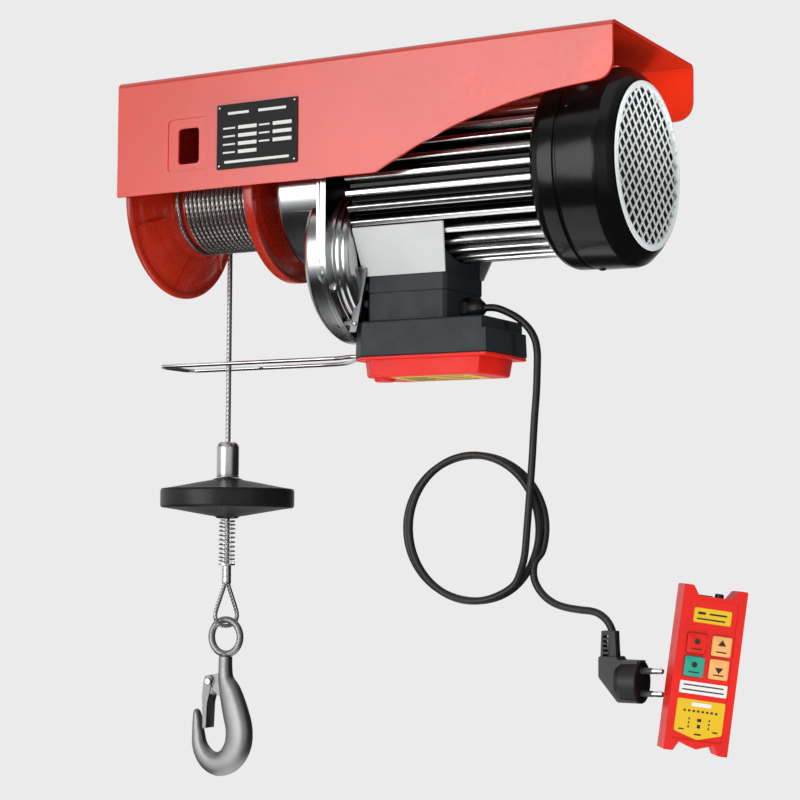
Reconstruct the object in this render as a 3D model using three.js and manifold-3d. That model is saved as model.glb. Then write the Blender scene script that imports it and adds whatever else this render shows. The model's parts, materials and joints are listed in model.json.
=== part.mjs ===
// Electric wire rope hoist: a folded steel channel carries a rope drum, a two-stage spur gearbox and a brake
// motor on one line, with a control box and mains cord under the motor, a rope with limit weight and swivel
// hook, and a wireless handset. Millimetres, +Z up, +X from the drum towards the motor's fan. The origin is the
// centre of the channel's top face, which is bolted up under a beam.
import * as THREE from "three";
import { mergeVertices } from "three/addons/utils/BufferGeometryUtils.js";
import Module from "manifold-3d";

const wasm = await Module();
wasm.setup();

// ---- driving dimensions ----
const GAP = 0.3; // clearance between pieces that touch
const FRAME = { half: 250, width: 184, sheet: 3, depth: 108 };
const SHAFT_Z = -106; // drum, gearbox output and motor share this axis
const LAY_DROP = 63; // layshaft axis below it: (12 + 72) * 1.5 / 2 and (12 + 60) * 1.75 / 2
const LAY_Z = SHAFT_Z - LAY_DROP;
const STAGE_1 = { module: 1.5, pinion: 12, wheel: 72, from: -28, to: -18 };
const STAGE_2 = { module: 1.75, pinion: 12, wheel: 60, from: -52, to: -39 };
const DRUM = { barrel: 41.5, left: -220, right: -119, bigFlange: 87, smallFlange: 79.5 };
const ROPE = { dia: 5, x: -214, y: 44.3 };
const CASE = { flangeHalf: 80, drumSide: 72, lobeZ: -168 };
const MOTOR = { from: -14.5, to: 167, tip: 72, root: 63, bore: 56, fins: 32, cowl: 86, cowlEnd: 243.5 };
const BOX = { neckTop: -190, bodyTop: -230, lidTop: -262, lidEnd: -280 };
const LEVER = { x: -38, z: -256, wire: 4, nearY: 20, farY: 75, endX: -281 };
const CORD = { dia: 6.5, glandX: 88, glandZ: -219.5 };
const COIL = { x: 78, y: 0, z: -414, inner: 55, outer: 68, half: 7, turnDeg: 10.5 };
const PLUG = { x: 206.5, y: 6, z: -501 };
const HOOK = { eyeZ: -519, eyeRadius: 16.5, eyeWire: 3.3, neckTop: -540, latch: [-15, -562] };
const HANDSET = { x: 290, y: 0, z: -530.5, turnDeg: 35, leanDeg: 8, width: 54, height: 136, depth: 22 };

// ---- finishes ----
const finish = (color, roughness, metalness) => new THREE.MeshStandardMaterial({ color, roughness, metalness });
const FINISH = {
  frameRed: finish(0xd6422f, 0.35, 0),
  drumRed: finish(0xb42a16, 0.25, 0),
  plasticRed: finish(0xe02a20, 0.4, 0),
  aluminium: finish(0xd8dadb, 0.2, 1),
  castAluminium: finish(0xc4c8ca, 0.35, 1),
  steel: finish(0x9a9c9e, 0.35, 1),
  chrome: finish(0xe4e6e8, 0.1, 1),
  blackGloss: finish(0x141416, 0.25, 0),
  boxGrey: finish(0x3c4042, 0.5, 0),
  offWhite: finish(0xe1e6e6, 0.5, 0),
  black: finish(0x262626, 0.6, 0),
  copper: finish(0xb4653a, 0.4, 0.9),
  board: finish(0x2f6b3c, 0.6, 0),
  amber: finish(0xf0b070, 0.5, 0),
  teal: finish(0x2fa890, 0.5, 0),
};

// ---- solids and geometry helpers ----
// A closed three.js geometry as a manifold solid with its faces pointing out.
function solid(geometry) {
  const bare = geometry.clone();
  bare.deleteAttribute("normal");
  bare.deleteAttribute("uv");
  const merged = mergeVertices(bare, 1e-4);
  const vertProperties = merged.attributes.position.array;
  const triVerts = new Uint32Array(merged.index.array);
  const made = new wasm.Manifold(new wasm.Mesh({ numProp: 3, vertProperties, triVerts }));
  if (made.volume() > 0) return made;
  for (let i = 0; i < triVerts.length; i += 3) {
    [triVerts[i + 1], triVerts[i + 2]] = [triVerts[i + 2], triVerts[i + 1]];
  }
  return new wasm.Manifold(new wasm.Mesh({ numProp: 3, vertProperties, triVerts }));
}

function geometryOf(made) {
  const { vertProperties, triVerts } = made.getMesh();
  return new THREE.BufferGeometry()
    .setAttribute("position", new THREE.BufferAttribute(vertProperties, 3))
    .setIndex(new THREE.BufferAttribute(triVerts, 1));
}

const join = (first, ...others) => others.reduce((sum, piece) => sum.add(piece), first);
const cut = (first, ...tools) => tools.reduce((rest, tool) => rest.subtract(tool), first);

const block = (x0, x1, y0, y1, z0, z1) =>
  solid(
    new THREE.BoxGeometry(x1 - x0, y1 - y0, z1 - z0).translate((x0 + x1) / 2, (y0 + y1) / 2, (z0 + z1) / 2),
  );

// A [along, radius] profile turned about the X or the Z axis.
function turned(profile, sides = 32, axis = "x") {
  const points = profile.map(([along, radius]) => new THREE.Vector2(radius, along));
  const geometry = new THREE.LatheGeometry(points, sides);
  return solid(axis === "x" ? geometry.rotateZ(-Math.PI / 2) : geometry.rotateX(Math.PI / 2));
}

// The same for a ring or sleeve, whose profile closes on itself.
const ring = (profile, sides, axis) => turned([...profile, profile[0]], sides, axis);

const rod = (from, to, radius, sides, axis) => turned([[from, 0], [from, radius], [to, radius], [to, 0]], sides, axis);

const sleeve = (from, to, bore, radius, sides, axis) =>
  ring([[from, bore], [from, radius], [to, radius], [to, bore]], sides, axis);

const AXES = [new THREE.Vector3(1, 0, 0), new THREE.Vector3(0, 1, 0), new THREE.Vector3(0, 0, 1)];
const ALONG_X = new THREE.Matrix4().makeBasis(AXES[1], AXES[2], AXES[0]); // outline in Y, Z
const ALONG_Y = new THREE.Matrix4().makeBasis(AXES[0], AXES[2], AXES[1].clone().negate()); // outline in X, Z

function extruded(shape, depth, curveSegments = 8) {
  return new THREE.ExtrudeGeometry(shape, { depth, bevelEnabled: false, curveSegments });
}

const alongX = (shape, x0, x1, curveSegments) =>
  solid(extruded(shape, x1 - x0, curveSegments).applyMatrix4(ALONG_X).translate(x0, 0, 0));

const alongY = (shape, y0, y1, curveSegments) =>
  solid(extruded(shape, y1 - y0, curveSegments).applyMatrix4(ALONG_Y).translate(0, y1, 0));

const alongZ = (shape, z0, z1, curveSegments) => solid(extruded(shape, z1 - z0, curveSegments).translate(0, 0, z0));

const outline = (points) => new THREE.Shape(points.map(([u, v]) => new THREE.Vector2(u, v)));

function roundedRectangle(u0, u1, v0, v1, radius, Kind = THREE.Shape) {
  const shape = new Kind();
  shape.absarc(u1 - radius, v0 + radius, radius, -Math.PI / 2, 0);
  shape.absarc(u1 - radius, v1 - radius, radius, 0, Math.PI / 2);
  shape.absarc(u0 + radius, v1 - radius, radius, Math.PI / 2, Math.PI);
  shape.absarc(u0 + radius, v0 + radius, radius, Math.PI, 1.5 * Math.PI);
  return shape;
}

function circle(u, v, radius, Kind = THREE.Shape) {
  const shape = new Kind();
  shape.absarc(u, v, radius, 0, 2 * Math.PI);
  return shape;
}

// A rectangle with its four corners cut off.
const chamfered = (u0, u1, v0, v1, c) =>
  outline([
    [u0 + c, v0],
    [u1 - c, v0],
    [u1, v0 + c],
    [u1, v1 - c],
    [u1 - c, v1],
    [u0 + c, v1],
    [u0, v1 - c],
    [u0, v0 + c],
  ]);

// A round tube along a smooth curve through the points.
function tube(points, dia, sides, steps) {
  const section = new THREE.Shape();
  for (let i = 0; i < sides; i++) {
    const angle = (2 * Math.PI * i) / sides;
    section[i ? "lineTo" : "moveTo"]((dia / 2) * Math.cos(angle), (dia / 2) * Math.sin(angle));
  }
  const path = new THREE.CatmullRomCurve3(points.map((p) => new THREE.Vector3(...p)), false, "centripetal");
  return solid(new THREE.ExtrudeGeometry(section, { extrudePath: path, steps, bevelEnabled: false }));
}

// A spur gear's outline with straight-sided teeth; the first tooth points at angle phaseDeg.
function gearOutline(teeth, module, phaseDeg) {
  const pitch = (teeth * module) / 2;
  const pitchAngle = (2 * Math.PI) / teeth;
  const corners = [
    [-0.36, pitch - 1.2 * module],
    [-0.13, pitch + 0.8 * module],
    [0.13, pitch + 0.8 * module],
    [0.36, pitch - 1.2 * module],
  ];
  const points = [];
  for (let i = 0; i < teeth; i++) {
    for (const [share, radius] of corners) {
      const angle = (i + share) * pitchAngle + THREE.MathUtils.degToRad(phaseDeg);
      points.push([radius * Math.cos(angle), radius * Math.sin(angle)]);
    }
  }
  return outline(points);
}

// ---- scene graph ----
const hoist = new THREE.Group();
const shaftLine = new THREE.Group();
const layLine = new THREE.Group();
const ropeLine = new THREE.Group();
shaftLine.position.z = SHAFT_Z;
layLine.position.z = LAY_Z;
ropeLine.position.set(ROPE.x, ROPE.y, 0);
hoist.add(shaftLine, layLine, ropeLine);

function place(parent, name, material, made) {
  const mesh = new THREE.Mesh(geometryOf(made), material);
  mesh.name = name;
  parent.add(mesh);
  return mesh;
}

function ballBearing(parent, name, from, to, bore, radius) {
  place(parent, name, FINISH.steel, sleeve(from, to, bore, radius, 16));
}

// ---- frame ----
function frameSide() {
  const side = new THREE.Shape();
  side.moveTo(-FRAME.half, -1);
  side.lineTo(-FRAME.half, -FRAME.depth);
  side.lineTo(26, -FRAME.depth);
  side.lineTo(30, -106);
  side.lineTo(49, -97);
  side.bezierCurveTo(95, -75, 150, -55, 231, -50);
  side.quadraticCurveTo(FRAME.half, -50, FRAME.half, -31);
  side.lineTo(FRAME.half, -1);
  return side;
}

function makeFrame() {
  const half = FRAME.width / 2;
  const top = new THREE.Shape([
    new THREE.Vector2(-FRAME.half, -half),
    new THREE.Vector2(FRAME.half, -half),
    new THREE.Vector2(FRAME.half, half),
    new THREE.Vector2(-FRAME.half, half),
  ]);
  for (const x of [-190, 190]) {
    for (const y of [-55, 55]) top.holes.push(circle(x, y, 5.5, THREE.Path));
  }
  const nearSide = frameSide();
  nearSide.holes.push(roundedRectangle(-181, -158, -83, -50, 4, THREE.Path));
  const channel = join(
    alongZ(top, -FRAME.sheet, 0, 4),
    alongY(nearSide, -half, -half + FRAME.sheet, 10),
    alongY(frameSide(), half - FRAME.sheet, half, 10),
  );
  place(hoist, "frame_channel", FINISH.frameRed, channel);
  const plateFace = -half - GAP;
  place(hoist, "nameplate", FINISH.blackGloss, block(-137, -51, plateFace - 0.8, plateFace, -92, -33));

  const under = -FRAME.sheet - GAP;
  const bracket = outline([[-60, under], [-60, -30], [-24, -128], [24, -128], [60, -30], [60, under]]);
  bracket.holes.push(circle(0, SHAFT_Z, 8.3, THREE.Path));
  place(hoist, "end_bracket", FINISH.frameRed, alongX(bracket, -249.6, -245.6, 12));
}

// ---- drum, rope on it, output gear ----
function makeDrum() {
  const { barrel, left, right, bigFlange, smallFlange } = DRUM;
  const profile = [
    [-228, 16.3],
    [-216, 16.3],
    [-216, 36.5],
    [-126, 36.5],
    [-126, 12.3],
    [-112, 12.3],
    [-112, 73],
    [-107.5, 76],
    [-107.5, smallFlange],
    [-118, smallFlange],
    [-118, 76],
    [-116, 73],
    [-116, 45],
    [right, barrel],
    [left, barrel],
    [-224, 50],
    [-238, 79],
    [-237, 84],
    [-240, bigFlange],
    [-244, bigFlange],
    [-244, 82],
    [-228, 50],
  ];
  place(shaftLine, "rope_drum", FINISH.drumRed, ring(profile, 32));
  place(shaftLine, "wound_rope", FINISH.steel, sleeve(-211, -120, barrel + GAP, barrel + GAP + ROPE.dia, 32));
  place(shaftLine, "stub_axle", FINISH.steel, turned([[-253, 0], [-253, 8], [-217, 8], [-217, 0]], 16));
  ballBearing(shaftLine, "drum_bearing", -227.5, -217, 8 + GAP, 16);
  place(shaftLine, "drum_shaft", FINISH.steel, rod(-124, -36.8, 12, 16));
  ballBearing(shaftLine, "output_bearing", -87, -75, 12 + GAP, 26);
  const wheel = gearOutline(STAGE_2.wheel, STAGE_2.module, 180 / STAGE_2.wheel);
  wheel.holes.push(circle(0, 0, 12 + GAP, THREE.Path));
  place(shaftLine, "output_gear", FINISH.steel, alongX(wheel, STAGE_2.from, STAGE_2.to, 8));
}

// ---- gearbox: drum half, centre plate, motor half ----
// A straight-sided plate with a round lower end, seen along X.
function casePlate(half, top, lowZ) {
  const shape = new THREE.Shape();
  shape.moveTo(half, top - 8);
  shape.lineTo(half - 8, top);
  shape.lineTo(8 - half, top);
  shape.lineTo(-half, top - 8);
  shape.absarc(0, lowZ, half, Math.PI, 2 * Math.PI);
  return shape;
}

const onShaft = (x0, x1, radius, sides = 32) => alongX(circle(0, SHAFT_Z, radius), x0, x1, sides);
const onLay = (x0, x1, radius, sides = 32) => alongX(circle(0, LAY_Z, radius), x0, x1, sides);

function makeGearcase() {
  const plate = casePlate(CASE.flangeHalf, -FRAME.sheet - GAP, CASE.lobeZ);
  const lobe = alongX(circle(0, CASE.lobeZ, 78), -56, -37, 20);
  const drumHalf = cut(
    join(onShaft(-90, -37, CASE.drumSide, 20), lobe, onLay(-67, -55, 19, 10), alongX(plate, -38, -35.2, 16)),
    onShaft(-87.3, -74, 26 + GAP, 12),
    onShaft(-91, -86, 14, 8),
    onShaft(-74.5, -30, 64, 16),
    alongX(circle(0, CASE.lobeZ, 72), -53.5, -30, 16),
    onLay(-65.3, -50, 16 + GAP, 10),
  );
  place(hoist, "gearcase_drum_half", FINISH.chrome, drumHalf);

  const centre = join(alongX(plate, -34.9, -32.5, 16), onLay(-37.2, -29.4, 19, 10));
  const bored = cut(centre, onLay(-40, -25, 16 + GAP, 10), onShaft(-40, -25, 11, 8));
  place(hoist, "gearcase_centre_plate", FINISH.aluminium, bored);

  const motorHalf = cut(
    join(alongX(plate, -32.2, -29.4, 16), onLay(-30, -15, 61, 20), onShaft(-30, -15, 32, 12)),
    onLay(-40, -16.8, 57.5, 20),
    onShaft(-40, -16.8, 13, 8),
    onShaft(-20, -10, 9, 8),
  );
  place(hoist, "gearcase_motor_half", FINISH.chrome, motorHalf);

  ballBearing(layLine, "layshaft_bearing_left", -65, -56.5, 6 + GAP, 16);
  ballBearing(layLine, "layshaft_bearing_right", -37, -29.6, 6 + GAP, 16);
  const pinion = gearOutline(STAGE_2.pinion, STAGE_2.module, 0);
  const layshaft = join(rod(-65, -17.5, 6, 16), alongX(pinion, STAGE_2.from, STAGE_2.to));
  place(layLine, "layshaft", FINISH.steel, layshaft);
  const wheel = gearOutline(STAGE_1.wheel, STAGE_1.module, 180 / STAGE_1.wheel);
  wheel.holes.push(circle(0, 0, 6 + GAP, THREE.Path));
  place(layLine, "layshaft_gear", FINISH.steel, alongX(wheel, STAGE_1.from, STAGE_1.to, 6));
}

// ---- motor ----
function finOutline() {
  const fin = Math.PI / MOTOR.fins;
  const corners = [
    [-0.62, MOTOR.root],
    [-0.34, MOTOR.tip],
    [0.34, MOTOR.tip],
    [0.62, MOTOR.root],
  ];
  const points = [];
  for (let i = 0; i < MOTOR.fins; i++) {
    for (const [share, radius] of corners) {
      const angle = (2 * i + share) * fin;
      points.push([radius * Math.cos(angle), radius * Math.sin(angle) + SHAFT_Z]);
    }
  }
  return outline(points);
}

function makeMotor() {
  const { from, to, bore, cowl, cowlEnd } = MOTOR;
  const body = cut(
    join(alongX(finOutline(), from, to), block(from, 68, -37, 37, BOX.neckTop, -153)),
    onShaft(-4, to + 1, bore, 20),
    onShaft(from - 1, 0, 17.5 + GAP, 12),
  );
  place(hoist, "motor_housing", FINISH.aluminium, body);
  ballBearing(shaftLine, "rotor_bearing_front", from + 0.5, -4.5, 7.5 + GAP, 17.5);

  place(shaftLine, "stator_core", FINISH.steel, sleeve(40, 120, 33.3, bore - GAP, 32));
  const winding = [
    [22, 32],
    [22, 50],
    [39.7, 50],
    [39.7, 33],
    [120.3, 33],
    [120.3, 50],
    [138, 50],
    [138, 32],
  ];
  place(shaftLine, "stator_winding", FINISH.copper, ring(winding, 24));

  const pinion = gearOutline(STAGE_1.pinion, STAGE_1.module, 0);
  const shaft = join(rod(-28.6, 224, 7.5, 16), alongX(pinion, STAGE_1.from, STAGE_1.to));
  place(shaftLine, "rotor_shaft", FINISH.steel, shaft);
  place(shaftLine, "rotor_core", FINISH.castAluminium, sleeve(36, 124, 7.5 + GAP, 31.5, 24));

  const shield = [
    [167.3, 17.8],
    [167.3, 85],
    [195, 85],
    [195, 82],
    [175, 79],
    [175, 24],
    [180.5, 22],
    [180.5, 17.8],
  ];
  place(shaftLine, "motor_end_shield", FINISH.blackGloss, ring(shield, 32));
  ballBearing(shaftLine, "rotor_bearing_rear", 168.5, 179.5, 7.5 + GAP, 17.5);

  const cowlProfile = [
    [195.3, cowl - 3],
    [195.3, cowl],
    [229, cowl],
    [cowlEnd, 72],
    [cowlEnd, 70.3],
    [cowlEnd - 3, 70.3],
    [228, cowl - 3],
  ];
  place(shaftLine, "fan_cowl", FINISH.blackGloss, ring(cowlProfile, 32));
  const grille = [[cowlEnd - 3, 0], [cowlEnd - 3, 70], [cowlEnd + 0.5, 70], [cowlEnd + 0.5, 64], [cowlEnd - 1, 63]];
  place(shaftLine, "fan_grille", FINISH.offWhite, turned([...grille, [cowlEnd - 1, 0]], 32));

  let fan = sleeve(204, 224, 7.5 + GAP, 16, 16);
  const blade = block(206, 222, 14, 66, -1.5, 1.5);
  for (let i = 0; i < 8; i++) {
    const turn = new THREE.Matrix4().makeRotationX((i * Math.PI) / 4);
    fan = join(fan, solid(geometryOf(blade).applyMatrix4(turn)));
  }
  place(shaftLine, "cooling_fan", FINISH.black, fan);
}

// ---- control box ----
// The box's plan, drawn in by inset: cut corners at the left and a blunt, slanted nose at the right.
function boxPlan(inset) {
  const left = -28 + inset;
  const side = 41 - inset;
  const cut = 13 - inset / 2;
  const nose = 14 - inset / 3;
  const shoulder = 110 - inset * 1.3;
  const right = 112 - inset * 1.05;
  const half = [[left, cut - side], [left + cut, -side], [shoulder, -side], [right, -nose]];
  return outline([...half, ...half.map(([x, y]) => [x, -y]).reverse()]);
}

function makeControlBox() {
  const { neckTop, bodyTop, lidTop, lidEnd } = BOX;
  const neck = cut(
    alongZ(chamfered(-12, 68, -36.5, 36.5, 3), bodyTop, neckTop - GAP),
    alongZ(chamfered(-9, 65, -33.5, 33.5, 2), bodyTop - 1, neckTop - 5),
  );
  place(hoist, "control_box_neck", FINISH.boxGrey, neck);

  const body = cut(
    alongZ(boxPlan(0), lidTop, bodyTop - GAP),
    alongZ(boxPlan(3), lidTop - 1, bodyTop - 3.5),
    block(-5, 60, -28, 28, bodyTop - 5, bodyTop + 1),
  );
  place(hoist, "control_box_body", FINISH.boxGrey, body);

  const lid = cut(
    join(
      alongZ(boxPlan(0), lidTop - 3, lidTop - GAP),
      alongZ(boxPlan(8), lidEnd, lidTop - 2),
    ),
    alongZ(boxPlan(11), lidEnd + 3, lidTop + 1),
  );
  place(hoist, "control_box_lid", FINISH.plasticRed, lid);

  const capacitor = rod(12, 78, 12.5, 16);
  place(hoist, "start_capacitor", FINISH.offWhite, capacitor).position.set(0, -20, -247.5);
  place(hoist, "receiver_board", FINISH.board, block(2, 96, 0, 34, -251.6, -250));
  place(hoist, "limit_switch", FINISH.blackGloss, block(-24, -4, 6, 26, -260, -242));

  const hexagon = new THREE.CylinderGeometry(10, 10, 6, 6).rotateZ(Math.PI / 2).translate(71.3, 0, 0);
  const gland = cut(
    join(solid(hexagon), turned([[73, 0], [73, 8.5], [84, 8], [CORD.glandX, 5], [CORD.glandX, 0]], 16)),
    rod(86, 90, CORD.dia / 2 + GAP, 12),
  );
  place(hoist, "cable_gland", FINISH.black, gland).position.z = CORD.glandZ;
}

// ---- limit lever: a wire loop round the rope ----
function makeLever() {
  const { x, z, wire, nearY, farY, endX } = LEVER;
  const nearPivotY = 13;
  const farPivotY = 31;
  const path = [
    [x, nearPivotY, z],
    [x - 20, nearPivotY, z],
    [x - 36, nearY, z],
    [x - 60, nearY, z],
    [endX + 12, nearY, z],
    [endX + 2, nearY + 3, z],
    [endX, nearY + 12, z],
    [endX, farY - 12, z],
    [endX + 2, farY - 3, z],
    [endX + 12, farY, z],
    [x - 70, farY, z],
    [x - 52, farY - 8, z],
    [x - 24, farPivotY + 3, z],
    [x, farPivotY, z],
  ];
  const barrel = new THREE.CylinderGeometry(4, 4, farPivotY - nearPivotY + 6, 12);
  const bore = new THREE.CylinderGeometry(2 + GAP, 2 + GAP, 40, 10);
  const middleY = (nearPivotY + farPivotY) / 2;
  const loop = cut(
    join(tube(path, wire, 6, 52), solid(barrel.translate(x, middleY, z))),
    solid(bore.translate(x, middleY, z)),
  );
  place(hoist, "limit_lever", FINISH.chrome, loop);

  const reach = middleY - nearPivotY + 3 + GAP;
  const pin = new THREE.CylinderGeometry(2, 2, 2 * reach + 3, 10).translate(x, middleY, z);
  const ear = roundedRectangle(x - 5, -28 - GAP, z - 5, z + 5, 3);
  const bracket = join(
    block(-30.5, -28 - GAP, middleY - reach - 2, middleY + reach + 2, z - 5, z + 5),
    alongY(ear, middleY - reach - 2, middleY - reach, 4),
    alongY(ear, middleY + reach, middleY + reach + 2, 4),
    solid(pin),
  );
  place(hoist, "lever_bracket", FINISH.steel, bracket);
}

// ---- rope end: rope, limit weight, buffer spring, ferrule, rope eye ----
function makeRopeEnd() {
  const radius = ROPE.dia / 2;
  place(ropeLine, "hanging_rope", FINISH.steel, rod(-449, SHAFT_Z, radius, 12, "z"));
  const discTop = -365;
  const discEnd = -405;
  const disc = [
    [discTop, radius + GAP],
    [discTop - 1, 14],
    [-375, 62],
    [-377, 65],
    [-393, 65],
    [-395, 62],
    [discEnd + 1, 10],
    [discEnd, radius + GAP],
  ];
  place(ropeLine, "limit_weight", FINISH.black, ring(disc, 32, "z"));
  const collar = [
    [-330.5, radius + GAP],
    [-330.5, 8.5],
    [-334, 11.5],
    [discTop + GAP, 11.5],
    [discTop + GAP, radius + GAP],
  ];
  place(ropeLine, "weight_sleeve", FINISH.chrome, ring(collar, 20, "z"));
  place(ropeLine, "buffer_spring", FINISH.chrome, sleeve(-448, discEnd - GAP, 6.8, 8.5, 16, "z"));
  const ferrule = [
    [-449.5, 0],
    [-449.5, radius + GAP],
    [-448 - GAP, radius + GAP],
    [-448 - GAP, 8.5],
    [-450, 8.5],
    [-450, 4.5],
    [-468, 4.5],
    [-468, 0],
  ];
  place(ropeLine, "crimp_ferrule", FINISH.aluminium, turned(ferrule, 16, "z"));

  const low = HOOK.eyeZ + HOOK.eyeRadius - HOOK.eyeWire - GAP - radius;
  const eyeWidth = 12;
  const route = [
    [-2.2, 0, -468.6],
    [-2.6, 0, -471],
    [-6, 0, -480],
    [-eyeWidth, 0, low + 11],
    [-eyeWidth * 0.72, 0, low + 3],
    [0, 0, low],
    [eyeWidth * 0.72, 0, low + 3],
    [eyeWidth, 0, low + 11],
    [6, 0, -480],
    [2.6, 0, -471],
    [2.2, 0, -468.6],
  ];
  const ropeEye = place(ropeLine, "rope_eye", FINISH.steel, tube(route, ROPE.dia - 1, 8, 26));
  ropeEye.rotation.z = THREE.MathUtils.degToRad(60);
}

// ---- swivel hook with safety latch ----
function hookOutline() {
  const outer = [[7, -562], [16, -576], [26, -593], [30.5, -613], [27, -632], [14, -647], [-5, -653], [-23, -646]];
  const tip = [[-34, -630], [-37, -608], [-36, -593], [-33, -588.5], [-29.5, -593], [-28, -610]];
  const throat = [[-25, -627], [-14, -632.5], [-1.5, -628], [3, -616], [1, -601], [-4.5, -588], [-8, -575]];
  const shape = new THREE.Shape();
  shape.moveTo(-6, HOOK.neckTop);
  shape.lineTo(6, HOOK.neckTop);
  shape.lineTo(...outer[0]);
  shape.splineThru([...outer.slice(1), ...tip, ...throat].map(([x, z]) => new THREE.Vector2(x, z)));
  shape.lineTo(-6, -570);
  return shape;
}

function makeHook() {
  const { eyeZ, eyeRadius, eyeWire, neckTop, latch } = HOOK;
  const torus = new THREE.TorusGeometry(eyeRadius, eyeWire, 8, 24).rotateX(Math.PI / 2).translate(0, 0, eyeZ);
  const stem = rod(neckTop - 14, eyeZ - eyeRadius, 3, 12, "z");
  place(ropeLine, "hook_eye", FINISH.steel, join(solid(torus), stem));

  const [latchX, latchZ] = latch;
  const profile = alongY(hookOutline(), -5, 5, 2);
  const neck = rod(-580, neckTop, 8, 16, "z");
  const lug = join(
    alongY(circle(latchX, latchZ, 6.5), -5, 5, 8),
    alongY(outline([[latchX, latchZ - 6], [latchX, latchZ + 6], [-4, -556], [-4, -580]]), -5, 5),
  );
  const body = cut(
    join(profile, hookBelly(), neck, lug),
    rod(neckTop - 15, neckTop + 1, 3 + GAP, 12, "z"),
    alongY(circle(latchX, latchZ, 2 + GAP), -20, 20, 6),
  );
  place(ropeLine, "hook_body", FINISH.steel, body);

  const pin = alongY(circle(latchX, latchZ, 2), -9.5, 9.5, 6);
  place(ropeLine, "latch_pin", FINISH.steel, pin);
  const cheek = outline([[-5.5, 0], [-4, 5], [1, 6], [4, 3], [0.5, -14], [-3, -46], [-6, -46], [-7, -16]]);
  const latchSolid = cut(
    alongY(cheek, -8, 8),
    block(-7.5, 12, -5 - GAP, 5 + GAP, -13, 12),
    block(-3.4, 12, -6.4, 6.4, -60, -14),
    alongY(circle(0, 0, 2 + GAP), -20, 20, 6),
  );
  const latchMesh = place(ropeLine, "safety_latch", FINISH.chrome, latchSolid);
  latchMesh.position.set(latchX, 0, latchZ);
}

// The thick middle of the hook's bowl, a narrower outline over a greater thickness.
function hookBelly() {
  const back = [[5, -575], [17, -591], [23.5, -612], [20, -631], [4, -645], [-16, -643], [-27, -631]];
  const front = [[-22, -632], [-13, -637], [1.5, -632], [7.5, -617], [5, -599], [-1, -584]];
  const shape = new THREE.Shape();
  shape.moveTo(...back[0]);
  shape.splineThru([...back.slice(1), ...front].map(([x, z]) => new THREE.Vector2(x, z)));
  return alongY(shape, -9, 9, 2);
}

// ---- mains cord, coiled once it is down, and its angled plug ----
function makeCord() {
  const { dia, glandX, glandZ } = CORD;
  const route = [
    [glandX - 1.5, 0, glandZ],
    [98, 0, glandZ - 0.4],
    [109, 0, -223.8],
    [121, 0, -230.5],
    [131, 0, -239.5],
    [137, 0, -249.5],
    [139.2, 0, -260],
    [139.4, 0, -270],
    [138.6, 0, -294],
    [136.5, 0, -321],
    [134.6, -0.3, -354],
    [132.8, -0.7, -380],
    [130, -1.2, -416],
    [128.1, -1.5, -435.4],
    [124.8, -2, -449.5],
    [118, -3.4, -463],
  ];
  place(hoist, "power_cord", FINISH.black, tube(route, dia, 8, 14));

  const { x, y, z, inner, outer, half, turnDeg } = COIL;
  const section = [[-half, inner + 2], [-half, outer - 2], [-half + 2, outer], [half - 2, outer], [half, outer - 2]];
  const coil = place(
    hoist,
    "cord_coil",
    FINISH.black,
    ring([...section, [half, inner + 2], [half - 2, inner], [2 - half, inner]], 32, "z"),
  );
  coil.rotation.set(Math.PI / 2, 0, 0);
  const upright = new THREE.Group();
  upright.rotation.z = THREE.MathUtils.degToRad(turnDeg);
  upright.position.set(x, y, z);
  upright.add(coil);
  hoist.add(upright);

  const tail = [
    [131.5, 10.4, -458],
    [135.9, 9.9, -466.5],
    [142.8, 9.4, -473.7],
    [151.8, 8.8, -479],
    [162.7, 8.1, -482.2],
    [176.1, 7.5, -484],
    [187.8, 6.9, -485],
    [196, 6.4, -487.8],
    [202.7, 6, -493.4],
    [PLUG.x + 0.3, PLUG.y, PLUG.z + GAP],
  ];
  place(hoist, "cord_tail", FINISH.black, tube(tail, dia, 8, 10));
}

function makePlug() {
  const plug = new THREE.Group();
  plug.position.set(PLUG.x, PLUG.y, PLUG.z);
  hoist.add(plug);
  let relief = turned([[-27, 0], [-27, 8.2], [0, 6.6], [0, 0]], 16, "z");
  for (let i = 0; i < 5; i++) {
    const z = -5 - 4.3 * i;
    relief = cut(relief, block(-12, -1.5, -12, 12, z - 1, z + 1));
  }
  const side = outline([[-8.5, -21.5], [-8.5, -39], [9, -60.5], [27.5, -60.5], [27.5, -24.5], [9, -24.5], [9, -21.5]]);
  const hub = alongY(side, -9, 9);
  const face = rod(5, 28, 18.3, 24);
  const round = new THREE.Mesh(geometryOf(face));
  round.position.z = -42.3;
  round.updateMatrix();
  const body = cut(
    join(relief, hub, solid(round.geometry.applyMatrix4(round.matrix))),
    rod(-1.6, 1, 4.9, 12, "z"),
  );
  const pinZ = [-32.8, -51.8];
  const drilled = pinZ.reduce((rest, z) => {
    const hole = geometryOf(rod(20, 40, 2.4 + GAP, 12)).translate(0, 0, z);
    return cut(rest, solid(hole));
  }, body);
  place(plug, "plug_body", FINISH.black, drilled);
  ["plug_pin_upper", "plug_pin_lower"].forEach((name, i) => {
    place(plug, name, FINISH.chrome, rod(20 + GAP, 47, 2.4, 12)).position.z = pinZ[i];
  });
}

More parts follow.
